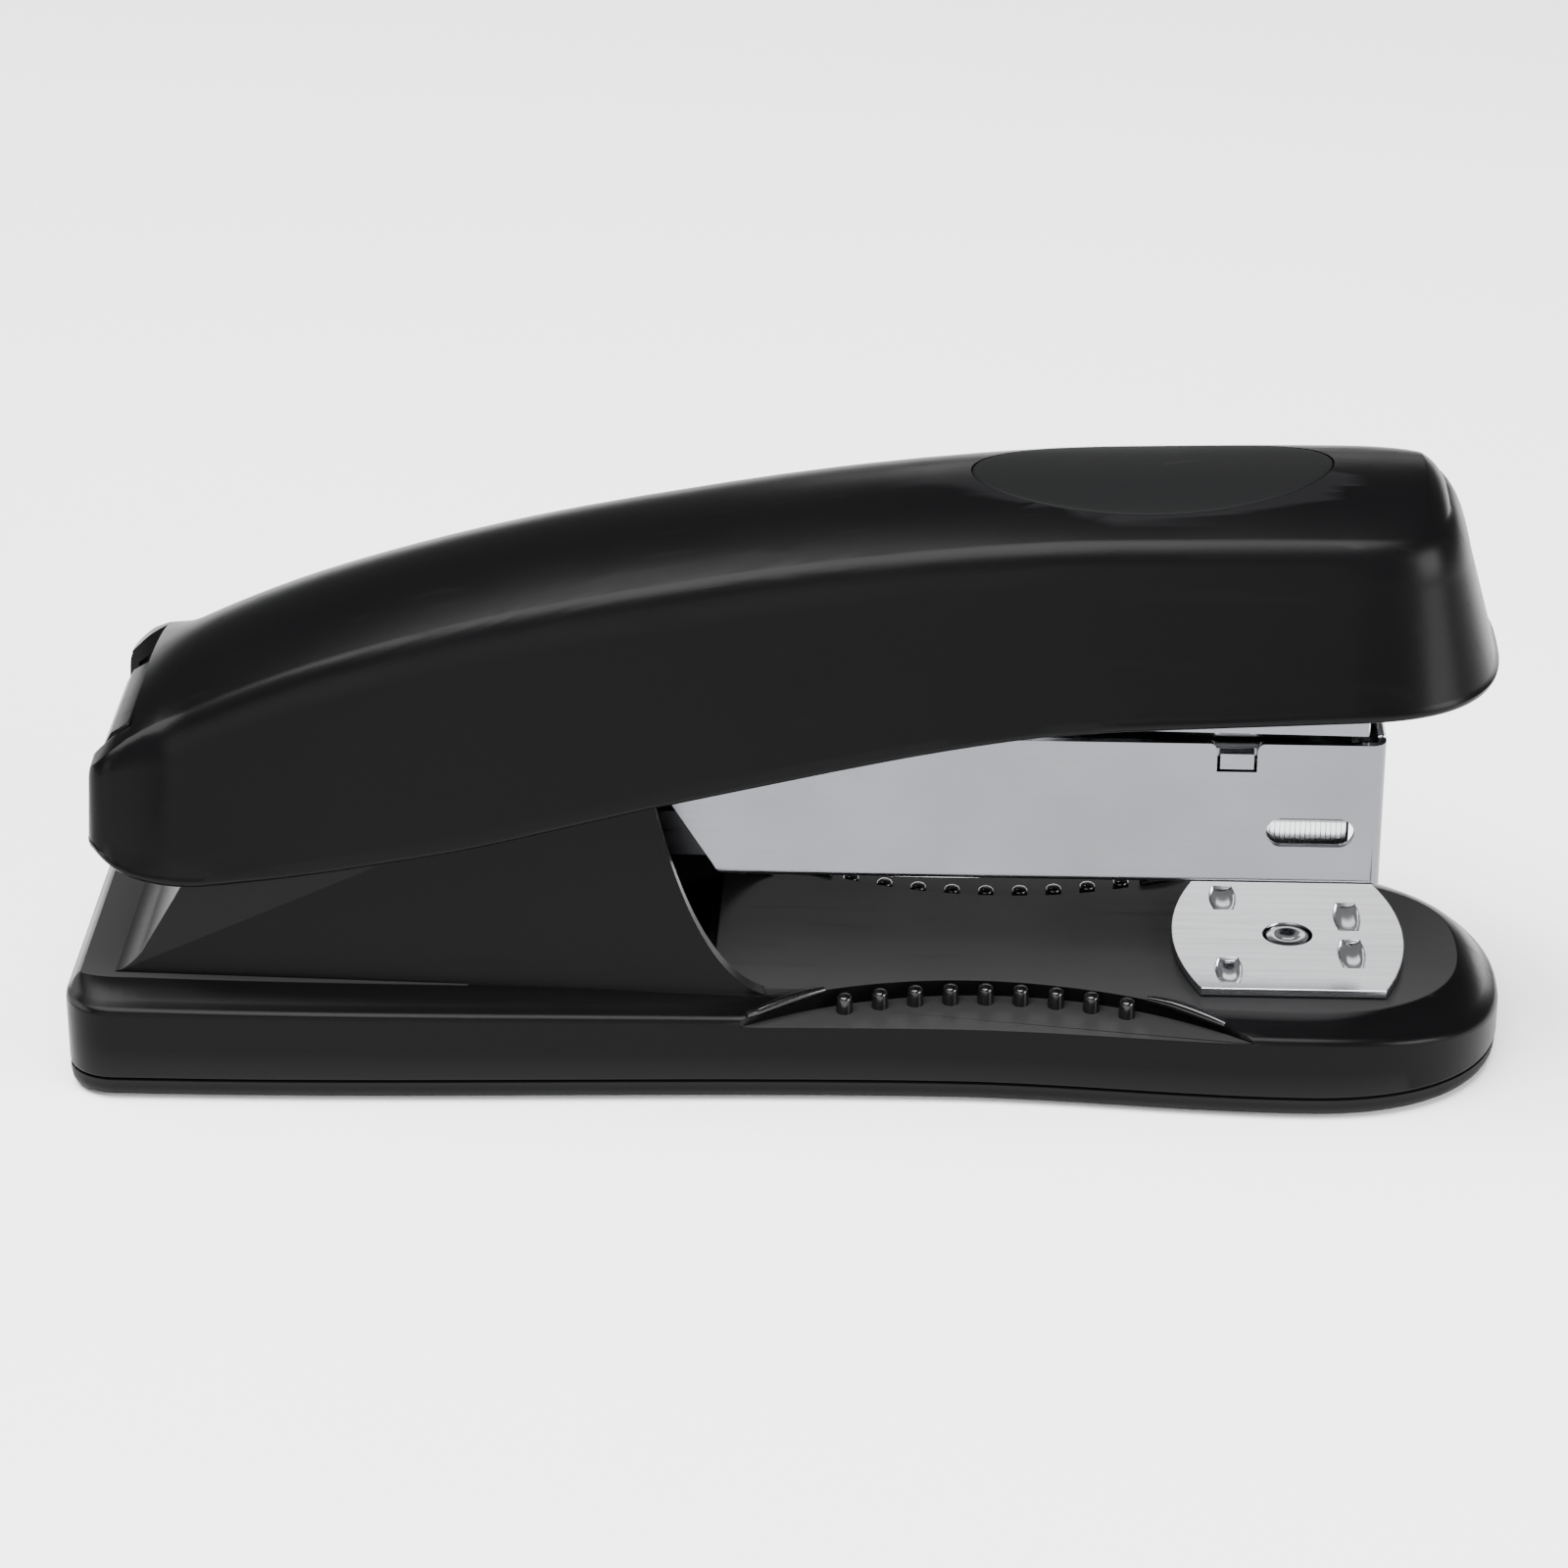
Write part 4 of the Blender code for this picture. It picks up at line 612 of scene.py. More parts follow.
def base_shell(form, sizes):
    low, rim_r = form.low_z, sizes.rim_radius
    inner = sizes.base_wall
    outline = form.outline
    cavity = ring(outline, inner, flat(sizes.base_cavity))
    rings = [middle_line(cavity), cavity, ring(outline, inner, flat(low)), ring(outline, 0.25 * MM, flat(low)),
             ring(outline, 0.07 * MM, flat(low + 0.07 * MM)), ring(outline, 0.0, flat(low + 0.25 * MM)),
             ring(outline, 0.0, lambda x: (low + form.rim(x)) / 2),
             ring(outline, 0.0, lambda x: form.rim(x) - rim_r)]
    for angle in (15, 30, 45, 60, 75):
        turn = math.radians(angle)
        rings.append(ring(outline, rim_r * (1 - math.cos(turn)),
                          lambda x, turn=turn: form.rim(x) - rim_r * (1 - math.sin(turn) * 0.98)))
    for step in range(1, 13):
        share = step / 12
        crest = share + 0.12 * math.sin(math.pi * share)
        rings.append(ring(outline, rim_r + (sizes.band - rim_r) * share,
                          lambda x, crest=crest: form.rim(x) + (form.deck(x) - form.rim(x)) * min(crest, 1.0)))
    rings.append(middle_line(rings[-1]))
    shell = loft("base_shell_fine", rings)
    saddle = prism("saddle", form.saddle(), -sizes.cheek_half, sizes.cheek_half)
    for vertex in saddle.data.vertices:
        vertex.co.y *= 1 - CHEEK_LEAN * (vertex.co.z - sizes.deck_rear)
    pit_half = sizes.cheek_half - sizes.cheek_wall
    boolean(saddle, block("between_cheeks", (sizes.pit_front - 2 * MM, -pit_half, 9.0 * MM),
                          (20 * MM, pit_half, 45 * MM)))
    boolean(shell, saddle, "UNION")
    boolean(shell, prism("pit", form.pit(), -pit_half, pit_half))
    for side in (-1, 1):
        outer = [(x, side * y) for x, y in form.grip_arc(0.0, -145, -35, 90)]
        boolean(shell, prism("grip", outer, sizes.grip_floor, 20 * MM, axis="Z"))
    for x in BASE_SCREWS_X:
        boolean(shell, rod("screw_hole", 1.5 * MM, (x, 0, 0), (x, 0, sizes.pit_floor + 1 * MM)))
    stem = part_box("anvil_stem")
    x = (stem[0][0] + stem[1][0]) / 2
    boolean(shell, rod("stem_hole", 1.8 * MM, (x, 0, 0), (x, 0, 20 * MM)))
    round_edges(shell, 0.28 * MM, 3, 38, sizes.cheek_half + 0.3 * MM)
    calm_flats(shell, 150 * MM * MM)
    # the base's look paints light onto its deck and rear ramp
    return finish(shell, "satin_black", "base", "base_shell", paint="base_black")


def base_sole(form):
    low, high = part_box("base_sole")
    outline = form.outline
    steps = [(2.4, 0.0)] + [(2.4 - 2.3 * math.sin(math.radians(a)), 1.75 - 1.75 * math.cos(math.radians(a)))
                            for a in range(10, 91, 10)]
    rings = [ring(outline, inset * MM, flat(low[2] + rise * MM)) for inset, rise in steps]
    rings.append(ring(outline, 0.1 * MM, flat(high[2])))
    rings = [middle_line(rings[0])] + rings + [middle_line(rings[-1])]
    sole = loft("base_sole_fine", rings)
    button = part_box("anvil_button")
    x, radius = (button[0][0] + button[1][0]) / 2, (button[1][0] - button[0][0]) / 2 + 0.6 * MM
    boolean(sole, rod("button_hole", radius, (x, 0, -1 * MM), (x, 0, 5 * MM)))
    for index in range(9):
        tread = -52 * MM + index * 10 * MM
        boolean(sole, block("tread", (tread, -11 * MM, -1 * MM), (tread + 1.2 * MM, 11 * MM, 0.35 * MM)))
    return finish(sole, "sole_rubber", "base", "base_sole")


def repeat(name, piece, points, slot):
    """Copies of one small mesh at each point, made with Geometry Nodes and turned into plain mesh."""
    tree = bpy.data.node_groups.new(name + "_layout", "GeometryNodeTree")
    tree.interface.new_socket("Geometry", in_out="INPUT", socket_type="NodeSocketGeometry")
    piece_input = tree.interface.new_socket("Piece", in_out="INPUT", socket_type="NodeSocketObject")
    paint_input = tree.interface.new_socket("Paint", in_out="INPUT", socket_type="NodeSocketMaterial")
    tree.interface.new_socket("Geometry", in_out="OUTPUT", socket_type="NodeSocketGeometry")
    start = tree.nodes.new("NodeGroupInput")
    info = tree.nodes.new("GeometryNodeObjectInfo")
    copies = tree.nodes.new("GeometryNodeInstanceOnPoints")
    real = tree.nodes.new("GeometryNodeRealizeInstances")
    paint = tree.nodes.new("GeometryNodeSetMaterial")
    end = tree.nodes.new("NodeGroupOutput")
    tree.links.new(start.outputs["Piece"], info.inputs["Object"])
    tree.links.new(start.outputs["Geometry"], copies.inputs["Points"])
    tree.links.new(info.outputs["Geometry"], copies.inputs["Instance"])
    tree.links.new(copies.outputs["Instances"], real.inputs["Geometry"])
    tree.links.new(real.outputs["Geometry"], paint.inputs["Geometry"])
    tree.links.new(start.outputs["Paint"], paint.inputs["Material"])
    tree.links.new(paint.outputs["Geometry"], end.inputs["Geometry"])
    mesh = bpy.data.meshes.new(name)
    mesh.from_pydata(points, [], [])
    row = new_object(name, mesh)
    layout = row.modifiers.new("layout", "NODES")
    layout.node_group = tree
    layout[piece_input.identifier] = piece
    layout[paint_input.identifier] = look(slot)
    settle(row)
    bpy.data.objects.remove(piece, do_unlink=True)
    return row


def grip_nubs(sizes):
    """Rounded posts that stand in both finger grips."""
    radius = sizes.nub_radius
    height = 1.95 * MM
    profile = [(0.0, height)] + [(radius * math.cos(math.radians(a)), height - radius * 0.6 * (1 - math.sin(
        math.radians(a)))) for a in (75, 60, 45, 30, 15, 0)] + [(radius * 1.06, -0.3 * MM), (0.0, -0.3 * MM)]
    post = turned("nub", profile, (0, 0), 28)
    points = []
    for side in (-1, 1):
        for index in range(sizes.nub_count):
            x = sizes.grip_centre + (index - (sizes.nub_count - 1) / 2) * sizes.nub_pitch
            reach = sizes.grip_radius - 1.3 * MM
            y = sizes.grip_inner + sizes.grip_radius - math.sqrt(reach ** 2 - (x - sizes.grip_centre) ** 2)
            points.append((x, side * y, sizes.grip_floor))
    finish(repeat("grip_nubs", post, points, "polished_black"), "satin_black", "base", paint="polished_black")


def grip_beads(form):
    """Raised beads that run out along both ends of each grip."""
    for side, hand in ((-1, "right"), (1, "left")):
        for end, (start, stop) in (("rear", (-123.5, -112)), ("front", (-68, -56.5))):
            path = form.grip_arc(0.1 * MM, start, stop, 24)
            line = [(x, side * y, form.band_height(x, y) + 0.22 * MM) for x, y in path]
            tips = [0.35 + 0.65 * math.sin(math.pi * (index + 1) / 26) ** 0.5 for index in range(25)]
            bead = wire(f"grip_bead_{end}_{hand}", line, 0.55 * MM, 4, tips)
            finish(bead, "satin_black", "base", paint="polished_black")


# ---- handle -------------------------------------------------------------------------
CROWN_LINE = [(-67.3, 35.6), (-63.2, 39.6), (-57, 43.3), (-45, 48.2), (-28, 53.2), (-10, 57.0), (7, 59.8),
              (24, 61.6), (40, 62.2), (55, 62.4), (68.9, 62.2)]     # mm, along the middle of the roof
LOWER_LINE = [(-67.3, 26.2), (-63.5, 23.6), (-57, 22.8), (-33, 26.8), (-11, 32.5), (22, 39.9), (46, 41.8),
              (68.9, 42.9)]
SIDE_TOP = (3.2, 8.0)             # mm: inset and drop below the crown where a side meets its shoulder
SHOULDER_PULL = (4.0, 3.97)
ROOF_EDGE = (5.6, 3.1)
TUCK_X = (-67.3, -58.5)           # mm: the shoulder is tighter at the rear end and full from here on
TUCK_SHARE = (0.35, 0.30)         # shares of the inset and of the drop that are left at the rear end


def tuck(x, which):
    """Share of the shoulder's inset (0) or drop (1) that is left at a place along the handle."""
    share = ease((x / MM - TUCK_X[0]) / (TUCK_X[1] - TUCK_X[0]))
    return TUCK_SHARE[which] + (1 - TUCK_SHARE[which]) * share


class HandleForm:
    """The handle's outer form, and the same form moved in by a skin thickness."""

    def __init__(self, sizes):
        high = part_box("handle_cover")[1]
        self.sizes = sizes
        self.half = high[1]
        self.outline = half_outline((CROWN_LINE[0][0] - 0.7) * MM, high[0], lambda x: self.half, sizes.handle_corner,
                                    sizes.handle_nose, 2.8, (10, 84, 40))

    def side(self, skin, share):
        """A ring round the sides, from the lower edge (0) to the foot of the shoulder (1)."""
        def height(x):
            low = along(LOWER_LINE, x)
            top = along(CROWN_LINE, x) - SIDE_TOP[1] * MM * tuck(x, 1) - skin
            return low + (top - low) * share
        return ring(self.outline, lambda x: skin + SIDE_TOP[0] * MM * share * tuck(x, 0), height)

    def upper(self, skin):
        """Rings from the top of the sides over the shoulder to the middle of the roof."""
        rings = [ring(self.outline, lambda x, inset=inset: inset * MM * tuck(x, 0) + skin,
                      lambda x, drop=drop: along(CROWN_LINE, x) - drop * MM * tuck(x, 1) - skin)
                 for inset, drop in bezier(SIDE_TOP, SHOULDER_PULL, ROOF_EDGE, 10)]
        edge, half = rings[-1], self.half - ROOF_EDGE[0] * MM - self.sizes.handle_wall
        for step in range(1, 13):
            share = 1 - step / 12
            rise = ROOF_EDGE[1] * MM * (1 - share * share)
            rings.append([(x, y * share, z + rise * tuck(x, 1) * min(y / half, 1.0) ** 2) for x, y, z in edge])
        return rings

    def solid(self, name, skin):
        """The form as one solid block with a flat underside."""
        start = self.side(skin, 0.0)
        return loft(name, [middle_line(start)] + [self.side(skin, step / 5) for step in range(5)]
                    + self.upper(skin))

    def shell(self, name, wall):
        """Inside, rounded lower lip and outside as one closed skin."""
        inside = self.upper(wall)[::-1] + [self.side(wall, share) for share in (0.8, 0.6, 0.4, 0.2, 0.08)]
        lip = []
        for angle in range(0, 181, 20):
            turn = math.radians(angle)
            inset = wall / 2 + wall / 2 * math.cos(turn)
            lip.append(ring(self.outline, inset, lambda x, turn=turn: along(LOWER_LINE, x) + wall / 2
                            - wall / 2 * math.sin(turn)))
        outside = [self.side(0.0, share) for share in (0.12, 0.3, 0.5, 0.7, 0.85)] + self.upper(0.0)
        return loft(name, inside + lip + outside)


def pad_outline():
    """Plan of the pocket that the thumb pad lies in."""
    low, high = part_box("thumb_pad")
    middle = ((low[0] + high[0]) / 2, (low[1] + high[1]) / 2)
    reach = ((high[0] - low[0]) / 2 + CAD_SEAM, (high[1] - low[1]) / 2 + CAD_SEAM)
    turns = [2 * math.pi * step / 120 for step in range(120)]
    return [(middle[0] + reach[0] * math.cos(a), middle[1] + reach[1] * math.sin(a)) for a in turns]


def handle_cover(form, sizes):
    cover = form.shell("handle_cover_fine", sizes.handle_wall)
    half, wing, step = sizes.notch_half, sizes.cheek_half + 0.6 * MM, sizes.wing_low
    notch = [(-wing, 10 * MM), (wing, 10 * MM), (wing, step), (half, step + 0.8 * MM), (half, 60 * MM),
             (-half, 60 * MM), (-half, step + 0.8 * MM), (-wing, step)]
    boolean(cover, prism("rear_notch", notch, -90 * MM, sizes.notch_x, axis="X"), solver="MANIFOLD")
    pocket = prism("pocket", pad_outline(), 40 * MM, 80 * MM, axis="Z")
    boolean(pocket, form.solid("pocket_floor", 1.2 * MM))
    boolean(cover, pocket, solver="MANIFOLD")
    for screw in ("handle_screw_rear", "handle_screw_front"):
        low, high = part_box(screw)
        x = (low[0] + high[0]) / 2
        top = along(CROWN_LINE, x) - sizes.handle_wall
        boss = rod("boss", 2.9 * MM, (x, 0, low[2] + 3.6 * MM), (x, 0, top + 0.6 * MM))
        boolean(boss, rod("boss_hole", 1.5 * MM, (x, 0, 0), (x, 0, top - 1.6 * MM)))
        boolean(cover, boss, "UNION", "MANIFOLD")
    round_edges(cover, 0.25 * MM, 3, 42)
    return finish(cover, "satin_black", "handle", "handle_cover")


def thumb_pad(form, sizes):
    """A thin dished pad whose top follows the roof, with a rounded rim."""
    low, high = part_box("thumb_pad")
    middle = (low[0] + high[0]) / 2
    reach = ((high[0] - low[0]) / 2 + CAD_SEAM - sizes.pad_gap, high[1] + CAD_SEAM - sizes.pad_gap)
    edge = form.half - ROOF_EDGE[0] * MM

    def row(share, sink):
        made = []
        for step in range(61):
            angle = math.pi * (1 - step / 60)
            x, y = middle + reach[0] * share * math.cos(angle), reach[1] * share * math.sin(angle)
            roof = along(CROWN_LINE, x) - ROOF_EDGE[1] * MM * (y / edge) ** 2
            made.append((x, y if 0 < step < 60 else 0.0, roof - sink - sizes.pad_dish * (1 - share * share)))
        return made

    floor = row(1.0, 0.95 * MM)
    rim = [row(1.0 - 0.018 * (1 - math.cos(math.radians(a))), 0.16 * MM * (1 - math.sin(math.radians(a))))
           for a in (0, 22, 45, 68, 90)]
    top = [row(share, 0.0) for share in (0.93, 0.85, 0.75, 0.62, 0.48, 0.34, 0.2, 0.08)]
    pad = loft("thumb_pad_fine", [middle_line(floor), floor] + rim + top + [middle_line(top[-1])])
    return finish(pad, "soft_grey", "handle", "thumb_pad")


# ---- magazine and anvil -------------------------------------------------------------
def magazine(sizes):
    """The plated channel: folded edges, window, notches and a rolled lip on its front wall."""
    low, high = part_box("magazine_channel")
    front, half, floor, top = high[0], high[1], low[2], high[2]
    pin_low, pin_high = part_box("hinge_pin")
    pin = ((pin_low[0] + pin_high[0]) / 2, (pin_low[2] + pin_high[2]) / 2)
    bend, sheet = sizes.bend, sizes.sheet
    side = [(front, floor), (front, top), (-30 * MM, top)] + arc(pin, pin[0] - low[0], 75, 270, 24) \
        + [(-40 * MM, 21.6 * MM), (-16 * MM, 24.6 * MM), (-12.8 * MM, 29.6 * MM), (-11.6 * MM, 28.6 * MM)] \
        + bezier((-7.4 * MM, 21.9 * MM), (-6.8 * MM, floor), (-5.2 * MM, floor), 6)
    channel = prism("magazine_channel_fine", side, -half, half)
    wide = half + 1 * MM
    nose_x, nose_y = front - bend, half - bend
    plan = [(-90 * MM, wide), (-90 * MM, -wide), (nose_x, -wide)] + arc((nose_x, -nose_y), bend, -90, 0, 10) \
        + arc((nose_x, nose_y), bend, 0, 90, 10) + [(nose_x, wide)]
    boolean(channel, prism("plan", plan, 0, 60 * MM, axis="Z"), "INTERSECT")
    fold = 1.0 * MM
    section = [(-half, 60 * MM)] + arc((-half + fold, floor + fold), fold, 180, 270, 8) \
        + arc((half - fold, floor + fold), fold, 270, 360, 8) + [(half, 60 * MM)]
    boolean(channel, prism("section", section, -90 * MM, 90 * MM, axis="X"), "INTERSECT")
    inner = half - sheet
    boolean(channel, block("inside", (-90 * MM, -inner, floor + sheet), (front - sheet, inner, 60 * MM)))
    blade_low, blade_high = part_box("driver_blade")
    blade_x = (blade_low[0] + blade_high[0]) / 2
    boolean(channel, block("exit", (blade_x - 1 * MM, -6.65 * MM, 10 * MM),
                           (blade_x + 1 * MM, 6.65 * MM, floor + sheet + 1 * MM)))
    window = arc((53.85 * MM, 26.4 * MM), 1.55 * MM, -90, 90, 16) \
        + arc((48.35 * MM, 26.4 * MM), 1.55 * MM, 90, 270, 16)
    boolean(channel, prism("window", window, -20 * MM, 20 * MM))
    deep, rim = top - 3.0 * MM, 60 * MM
    notch = [(41.75 * MM, deep), (45.65 * MM, deep), (45.65 * MM, top - 1.0 * MM)] \
        + bezier((45.65 * MM, top - 0.9 * MM), (45.7 * MM, top), (46.5 * MM, top + 0.05 * MM), 5) \
        + [(46.5 * MM, rim), (40.9 * MM, rim)] \
        + bezier((40.9 * MM, top + 0.05 * MM), (41.7 * MM, top), (41.75 * MM, top - 0.9 * MM), 5)
    boolean(channel, prism("notch", notch, -20 * MM, 20 * MM))
    boolean(channel, rod("pin_hole", 2.3 * MM, (pin[0], -30 * MM, pin[1]), (pin[0], 30 * MM, pin[1])))
    round_edges(channel, 0.16 * MM, 2, 40)
    finish(channel, "zinc_sheet", "magazine", "magazine_channel")
    curl = rod("front_curl", 0.42 * MM, (front - 0.45 * MM, -5.8 * MM, top - 0.1 * MM),
               (front - 0.45 * MM, 5.8 * MM, top - 0.1 * MM), 24)
    round_edges(curl, 0.15 * MM, 3, 50)
    finish(curl, "chrome", "magazine")


def staples(sizes):
    """A row of wire staples, glued side by side."""
    low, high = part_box("staple_strip")
    half, foot, crown = high[1], low[2], high[2]
    wire_width = sizes.staple_pitch
    bend = 0.7 * MM
    outer = [(-half, foot)] + arc((-half + bend, crown - bend), bend, 180, 90, 6) \
        + arc((half - bend, crown - bend), bend, 90, 0, 6) + [(half, foot)]
    inner = [(half - wire_width, foot)] \
        + arc((half - bend, crown - bend), bend - wire_width, 0, 90, 6) \
        + arc((-half + bend, crown - bend), bend - wire_width, 90, 180, 6) + [(-half + wire_width, foot)]
    one = prism("staple", outer + inner, 0.005 * MM, wire_width - 0.005 * MM, axis="X")
    round_edges(one, 0.04 * MM, 1, 40)
    count = int((high[0] - low[0]) / wire_width)
    row = repeat("staple_row", one, [(low[0] + index * wire_width, 0, 0) for index in range(count)], "staple_wire")
    finish(row, "staple_wire", "magazine", "staple_strip")


def anvil():
    """Plated anvil: bowed ends, clinching slots and the riveted swivel."""
    low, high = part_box("anvil_plate")
    middle, reach, half = (low[0] + high[0]) / 2, (high[0] - low[0]) / 2, high[1]
    corner = 9.1 * MM
    bulge = reach - corner
    radius = (half ** 2 + bulge ** 2) / (2 * bulge)
    spread = math.degrees(math.asin(half / radius))
    outline = arc((middle + reach - radius, 0), radius, -spread, spread, 32) \
        + arc((middle - reach + radius, 0), radius, 180 - spread, 180 + spread, 32)
    plate = prism("anvil_plate_fine", outline, low[2], high[2], axis="Z")
    for side in (-1, 1):
        for x, (near, far) in ((6.2 * MM, (1.0 * MM, 7.0 * MM)), (-6.2 * MM, (5.2 * MM, 10.4 * MM))):
            clinching_slot(plate, middle + x, side * near, side * far, high[2])
    boolean(plate, rod("hub", 2.5 * MM, (middle, 0, 0), (middle, 0, 20 * MM)))
    round_edges(plate, 0.14 * MM, 3, 30)
    finish(plate, "chrome", "anvil", "anvil_plate")
    stem_low, stem_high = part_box("anvil_stem")
    head, shank, top = stem_high[0] - middle, 1.5 * MM, stem_high[2]
    profile = [(0.0, top - 0.5 * MM), (0.45 * MM, top - 0.48 * MM), (0.9 * MM, top - 0.3 * MM),
               (1.25 * MM, top - 0.02 * MM), (1.5 * MM, top), (head - 0.35 * MM, top - 0.02 * MM),
               (head - 0.08 * MM, top - 0.15 * MM), (head, top - 0.4 * MM), (head, low[2]), (shank, low[2]),
               (shank, stem_low[2]), (0.0, stem_low[2])]
    finish(turned("anvil_stem_fine", profile, (middle, 0), 64), "chrome", "anvil_carrier", "anvil_stem")


def clinching_slot(plate, x, near, far, top):
    """A pressed trough that curls a staple's leg, deepest and widest at its middle and shallower towards both ends.
    """
    width = 1.35 * MM
    trough = bmesh.new()
    rows = []
    for step in range(13):
        share = step / 12
        y = near + (far - near) * share
        depth = 0.12 * MM + 0.60 * MM * math.sin(math.pi * min(0.15 + share * 0.7, 1.0))
        bow = width * (0.55 + 0.45 * math.sin(math.pi * min(max(share, 0.06), 0.94)) ** 0.5)
        rows.append([trough.verts.new((x + bow * math.cos(math.radians(a)), y, top - depth * math.sin(
            math.radians(a)))) for a in range(0, 181, 20)]
            + [trough.verts.new((x - bow, y, top + 1 * MM)), trough.verts.new((x + bow, y, top + 1 * MM))])
    for first, second in zip(rows[:-1], rows[1:]):
        for index in range(len(first)):
            after = (index + 1) % len(first)
            trough.faces.new((first[index], first[after], second[after], second[index]))
    trough.faces.new(rows[0])
    trough.faces.new(rows[-1][::-1])
    boolean(plate, from_bmesh("trough", trough))


# ---- springs and steelwork ----------------------------------------------------------
def coil(name, axis, centre, radius, wire_radius, start, end, turns):
    """A compression spring wound along an axis."""
    points = []
    steps = 28
    for step in range(turns * steps + 1):
        share = step / (turns * steps)
        rise = share + 0.035 * math.sin(2 * math.pi * share)
        angle = 2 * math.pi * step / steps
        across, up, run = radius * math.cos(angle), radius * math.sin(angle), start + (end - start) * rise
        if axis == "X":
            points.append((run, centre[0] + across, centre[1] + up))
        else:
            points.append((centre[0] + across, centre[1] + up, run))
    return wire(name, points, wire_radius, 3)


def springs():
    low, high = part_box("pusher_spring")
    wire_radius = 0.32 * MM
    middle = ((low[1] + high[1]) / 2, (low[2] + high[2]) / 2)
    radius = (high[1] - low[1]) / 2 - 0.35 * MM
    spring = coil("pusher_spring_fine", "X", middle, radius, wire_radius, low[0] + wire_radius,
                  high[0] - wire_radius, 13)
    finish(spring, "spring_steel", "magazine", "pusher_spring")
    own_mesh(spring)
    low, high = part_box("anvil_spring")
    middle = ((low[0] + high[0]) / 2, 0)
    spring = coil("anvil_spring_fine", "Z", middle, (high[1] - low[1]) / 2 - 0.3 * MM, 0.28 * MM,
                  low[2] + 0.28 * MM, high[2] - 0.28 * MM, 3)
    finish(spring, "spring_steel", "base", "anvil_spring")
    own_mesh(spring)
    for node, body, joint, keep in (("return_spring", "magazine", "handle_press", 0.7),
                                    ("lift_spring", "base", "magazine_press", 0.79)):
        leaf = edged(node, 0.1 * MM)
        finish(leaf, "chrome" if node == "return_spring" else "spring_steel", body, node)
        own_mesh(leaf)


def edged(node, width, segments=2, angle=30):
    """A frame node's shape with its folded and cut edges rounded."""
    item = new_object(node + "_fine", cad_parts[node].data.copy())
    return round_edges(item, width, segments, angle)


STEELWORK = {
    "base_frame": ("zinc_steel", "base", 0.15),
    "frame_screw_rear": ("zinc_steel", "base", 0.1),
    "frame_screw_front": ("zinc_steel", "base", 0.1),
    "hinge_pin": ("zinc_steel", "base", 0.2),
    "anvil_button": ("satin_black", "anvil_carrier", 0.15),
    "staple_rail": ("black_steel", "magazine", 0.2),
    "driver_guide": ("zinc_sheet", "magazine", 0.12),
    "rod_block": ("zinc_steel", "magazine", 0.25),
    "guide_rod": ("chrome", "magazine", 0.15),
    "pusher": ("pusher_plastic", "staple_pusher", 0.3),
    "driver_arm": ("zinc_sheet", "handle", 0.2),
    "driver_blade": ("spring_steel", "handle", 0.08),
    "blade_rivet_left": ("zinc_steel", "handle", 0.15),
    "blade_rivet_right": ("zinc_steel", "handle", 0.15),
    "rear_cap": ("satin_black", "handle", 0.25),
    "handle_screw_rear": ("zinc_steel", "handle", 0.1),
    "handle_screw_front": ("zinc_steel", "handle", 0.1),
}


def steelwork():
    for node, (slot, body, width) in STEELWORK.items():
        finish(edged(node, width * MM), slot, body, node)


# ---- studio -------------------------------------------------------------------------
LIGHTS = (                        # name, place, point it faces, size, watts, seen directly
    ("overhead_light", (-0.20, -0.25, 1.00), (0, 0, 0.03), (1.1, 0.7), 55, True),
    ("front_fill", (-0.30, -1.0, 0.30), (0, 0, 0.03), (0.8, 0.4), 5, True),
    ("right_light", (0.85, -0.45, 0.30), (0.04, 0, 0.02), (0.5, 0.4), 16, True),
    ("anvil_card", (0.045, 0.25, 0.13), (0.045, 0, 0.01), (0.16, 0.06), 0.05, False),
)


def area_light(name, place, aim, size, power):
    light = bpy.data.lights.new(name, "AREA")
    light.shape = "RECTANGLE"
    light.size, light.size_y = size
    light.energy = power
    item = new_object(name, light)
    item.location = place
    item.rotation_euler = (Vector(place) - Vector(aim)).to_track_quat("Z", "Y").to_euler()
    return item


def studio(sizes, colours):
    floor = prism("studio_floor", [(-3, -3), (3, -3), (3, 3), (-3, 3)], -0.02, 0.0, axis="Z")
    floor.data.materials.append(studio_surface("studio_floor", tuple(colours.floor)))
    world = bpy.data.worlds.new("studio_light")
    bpy.context.scene.world = world
    world.use_nodes = True
    world.node_tree.nodes["Background"].inputs["Color"].default_value = (1.0, 1.0, 1.0, 1.0)
    world.node_tree.nodes["Background"].inputs["Strength"].default_value = 0.25
    for name, place, aim, size, power, seen in LIGHTS:
        area_light(name, place, aim, size, power).visible_camera = seen
    aim = Vector(VIEW_TARGET)
    turn, rise = sizes.view_turn, sizes.view_rise
    back = Vector((math.sin(turn) * math.cos(rise), -math.cos(turn) * math.cos(rise), math.sin(rise)))
    camera_data = bpy.data.cameras.new("studio_camera")
    camera_data.lens = sizes.view_lens
    camera_data.sensor_width = 36.0
    camera_data.clip_start = 0.01
    camera = new_object("studio_camera", camera_data)
    camera.location = aim + back * sizes.view_distance
    camera.rotation_euler = back.to_track_quat("Z", "Y").to_euler()
    bpy.context.scene.camera = camera


# ---- operators and panel ------------------------------------------------------------
class StaplerStep:
    """What the stapler's operators share."""

    bl_options = {"REGISTER", "UNDO"}

    def execute(self, context):
        self.build(context.scene.stapler_sizes, context.scene.stapler_colours)
        return {"FINISHED"}


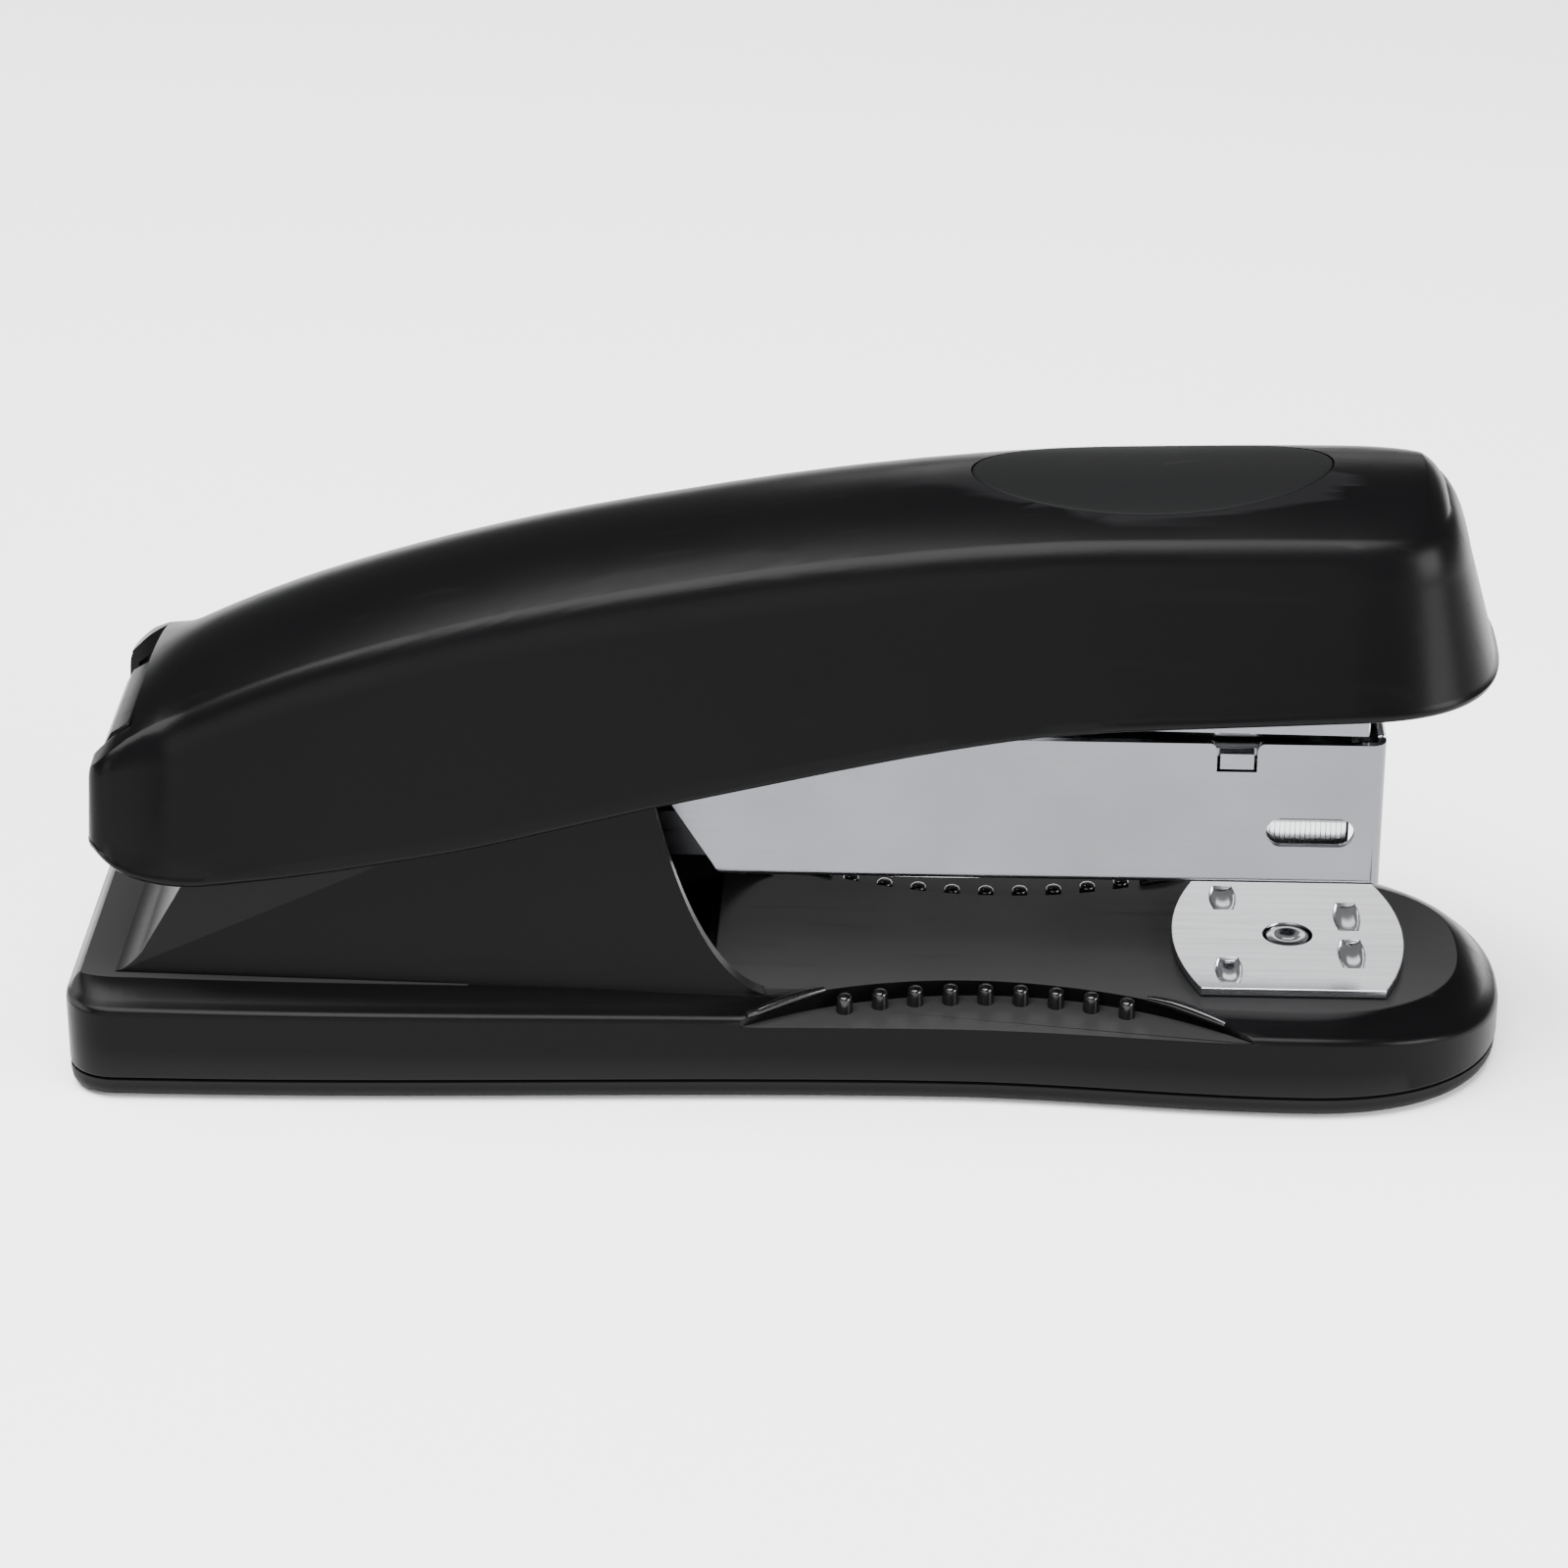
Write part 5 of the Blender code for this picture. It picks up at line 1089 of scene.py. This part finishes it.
class STAPLER_OT_base(StaplerStep, bpy.types.Operator):
    """Build the base shell with its cheeks and grips, and the sole under it"""

    bl_idname = "stapler.base"
    bl_label = "Base"

    def build(self, sizes, colours):
        form = BaseForm(sizes)
        base_shell(form, sizes)
        base_sole(form)
        grip_nubs(sizes)
        grip_beads(form)


class STAPLER_OT_handle(StaplerStep, bpy.types.Operator):
    """Build the handle cover and its thumb pad"""

    bl_idname = "stapler.handle"
    bl_label = "Handle"

    def build(self, sizes, colours):
        form = HandleForm(sizes)
        handle_cover(form, sizes)
        thumb_pad(form, sizes)


class STAPLER_OT_magazine(StaplerStep, bpy.types.Operator):
    """Build the magazine channel and the row of staples in it"""

    bl_idname = "stapler.magazine"
    bl_label = "Magazine"

    def build(self, sizes, colours):
        magazine(sizes)
        staples(sizes)


class STAPLER_OT_anvil(StaplerStep, bpy.types.Operator):
    """Build the anvil plate and its riveted swivel"""

    bl_idname = "stapler.anvil"
    bl_label = "Anvil"

    def build(self, sizes, colours):
        anvil()


class STAPLER_OT_springs(StaplerStep, bpy.types.Operator):
    """Build the coil and leaf springs"""

    bl_idname = "stapler.springs"
    bl_label = "Springs"

    def build(self, sizes, colours):
        springs()


class STAPLER_OT_steelwork(StaplerStep, bpy.types.Operator):
    """Round the edges of the arm, frame, pins, screws and small parts"""

    bl_idname = "stapler.steelwork"
    bl_label = "Steelwork"

    def build(self, sizes, colours):
        steelwork()


class STAPLER_OT_studio(StaplerStep, bpy.types.Operator):
    """Set up the floor, the lights and the camera"""

    bl_idname = "stapler.studio"
    bl_label = "Studio"

    def build(self, sizes, colours):
        studio(sizes, colours)


class STAPLER_PT_panel(bpy.types.Panel):
    """Sidebar panel with one button for each group of pieces"""

    bl_label = "Desk stapler"
    bl_idname = "STAPLER_PT_panel"
    bl_space_type = "VIEW_3D"
    bl_region_type = "UI"
    bl_category = "Stapler"

    def draw(self, context):
        for operator in OPERATORS:
            self.layout.operator(operator.bl_idname)


OPERATORS = (STAPLER_OT_base, STAPLER_OT_handle, STAPLER_OT_magazine, STAPLER_OT_anvil, STAPLER_OT_springs,
             STAPLER_OT_steelwork, STAPLER_OT_studio)
CLASSES = (StaplerSizes, StaplerColours) + OPERATORS + (STAPLER_PT_panel,)


def register():
    for item in CLASSES:
        bpy.utils.register_class(item)
    bpy.types.Scene.stapler_sizes = bpy.props.PointerProperty(type=StaplerSizes)
    bpy.types.Scene.stapler_colours = bpy.props.PointerProperty(type=StaplerColours)


def unregister():
    del bpy.types.Scene.stapler_colours
    del bpy.types.Scene.stapler_sizes
    for item in reversed(CLASSES):
        bpy.utils.unregister_class(item)


def main():
    register()
    for operator in OPERATORS:
        group, name = operator.bl_idname.split(".")
        getattr(getattr(bpy.ops, group), name)()
    bpy.context.view_layer.update()


if __name__ == "__main__":
    main()
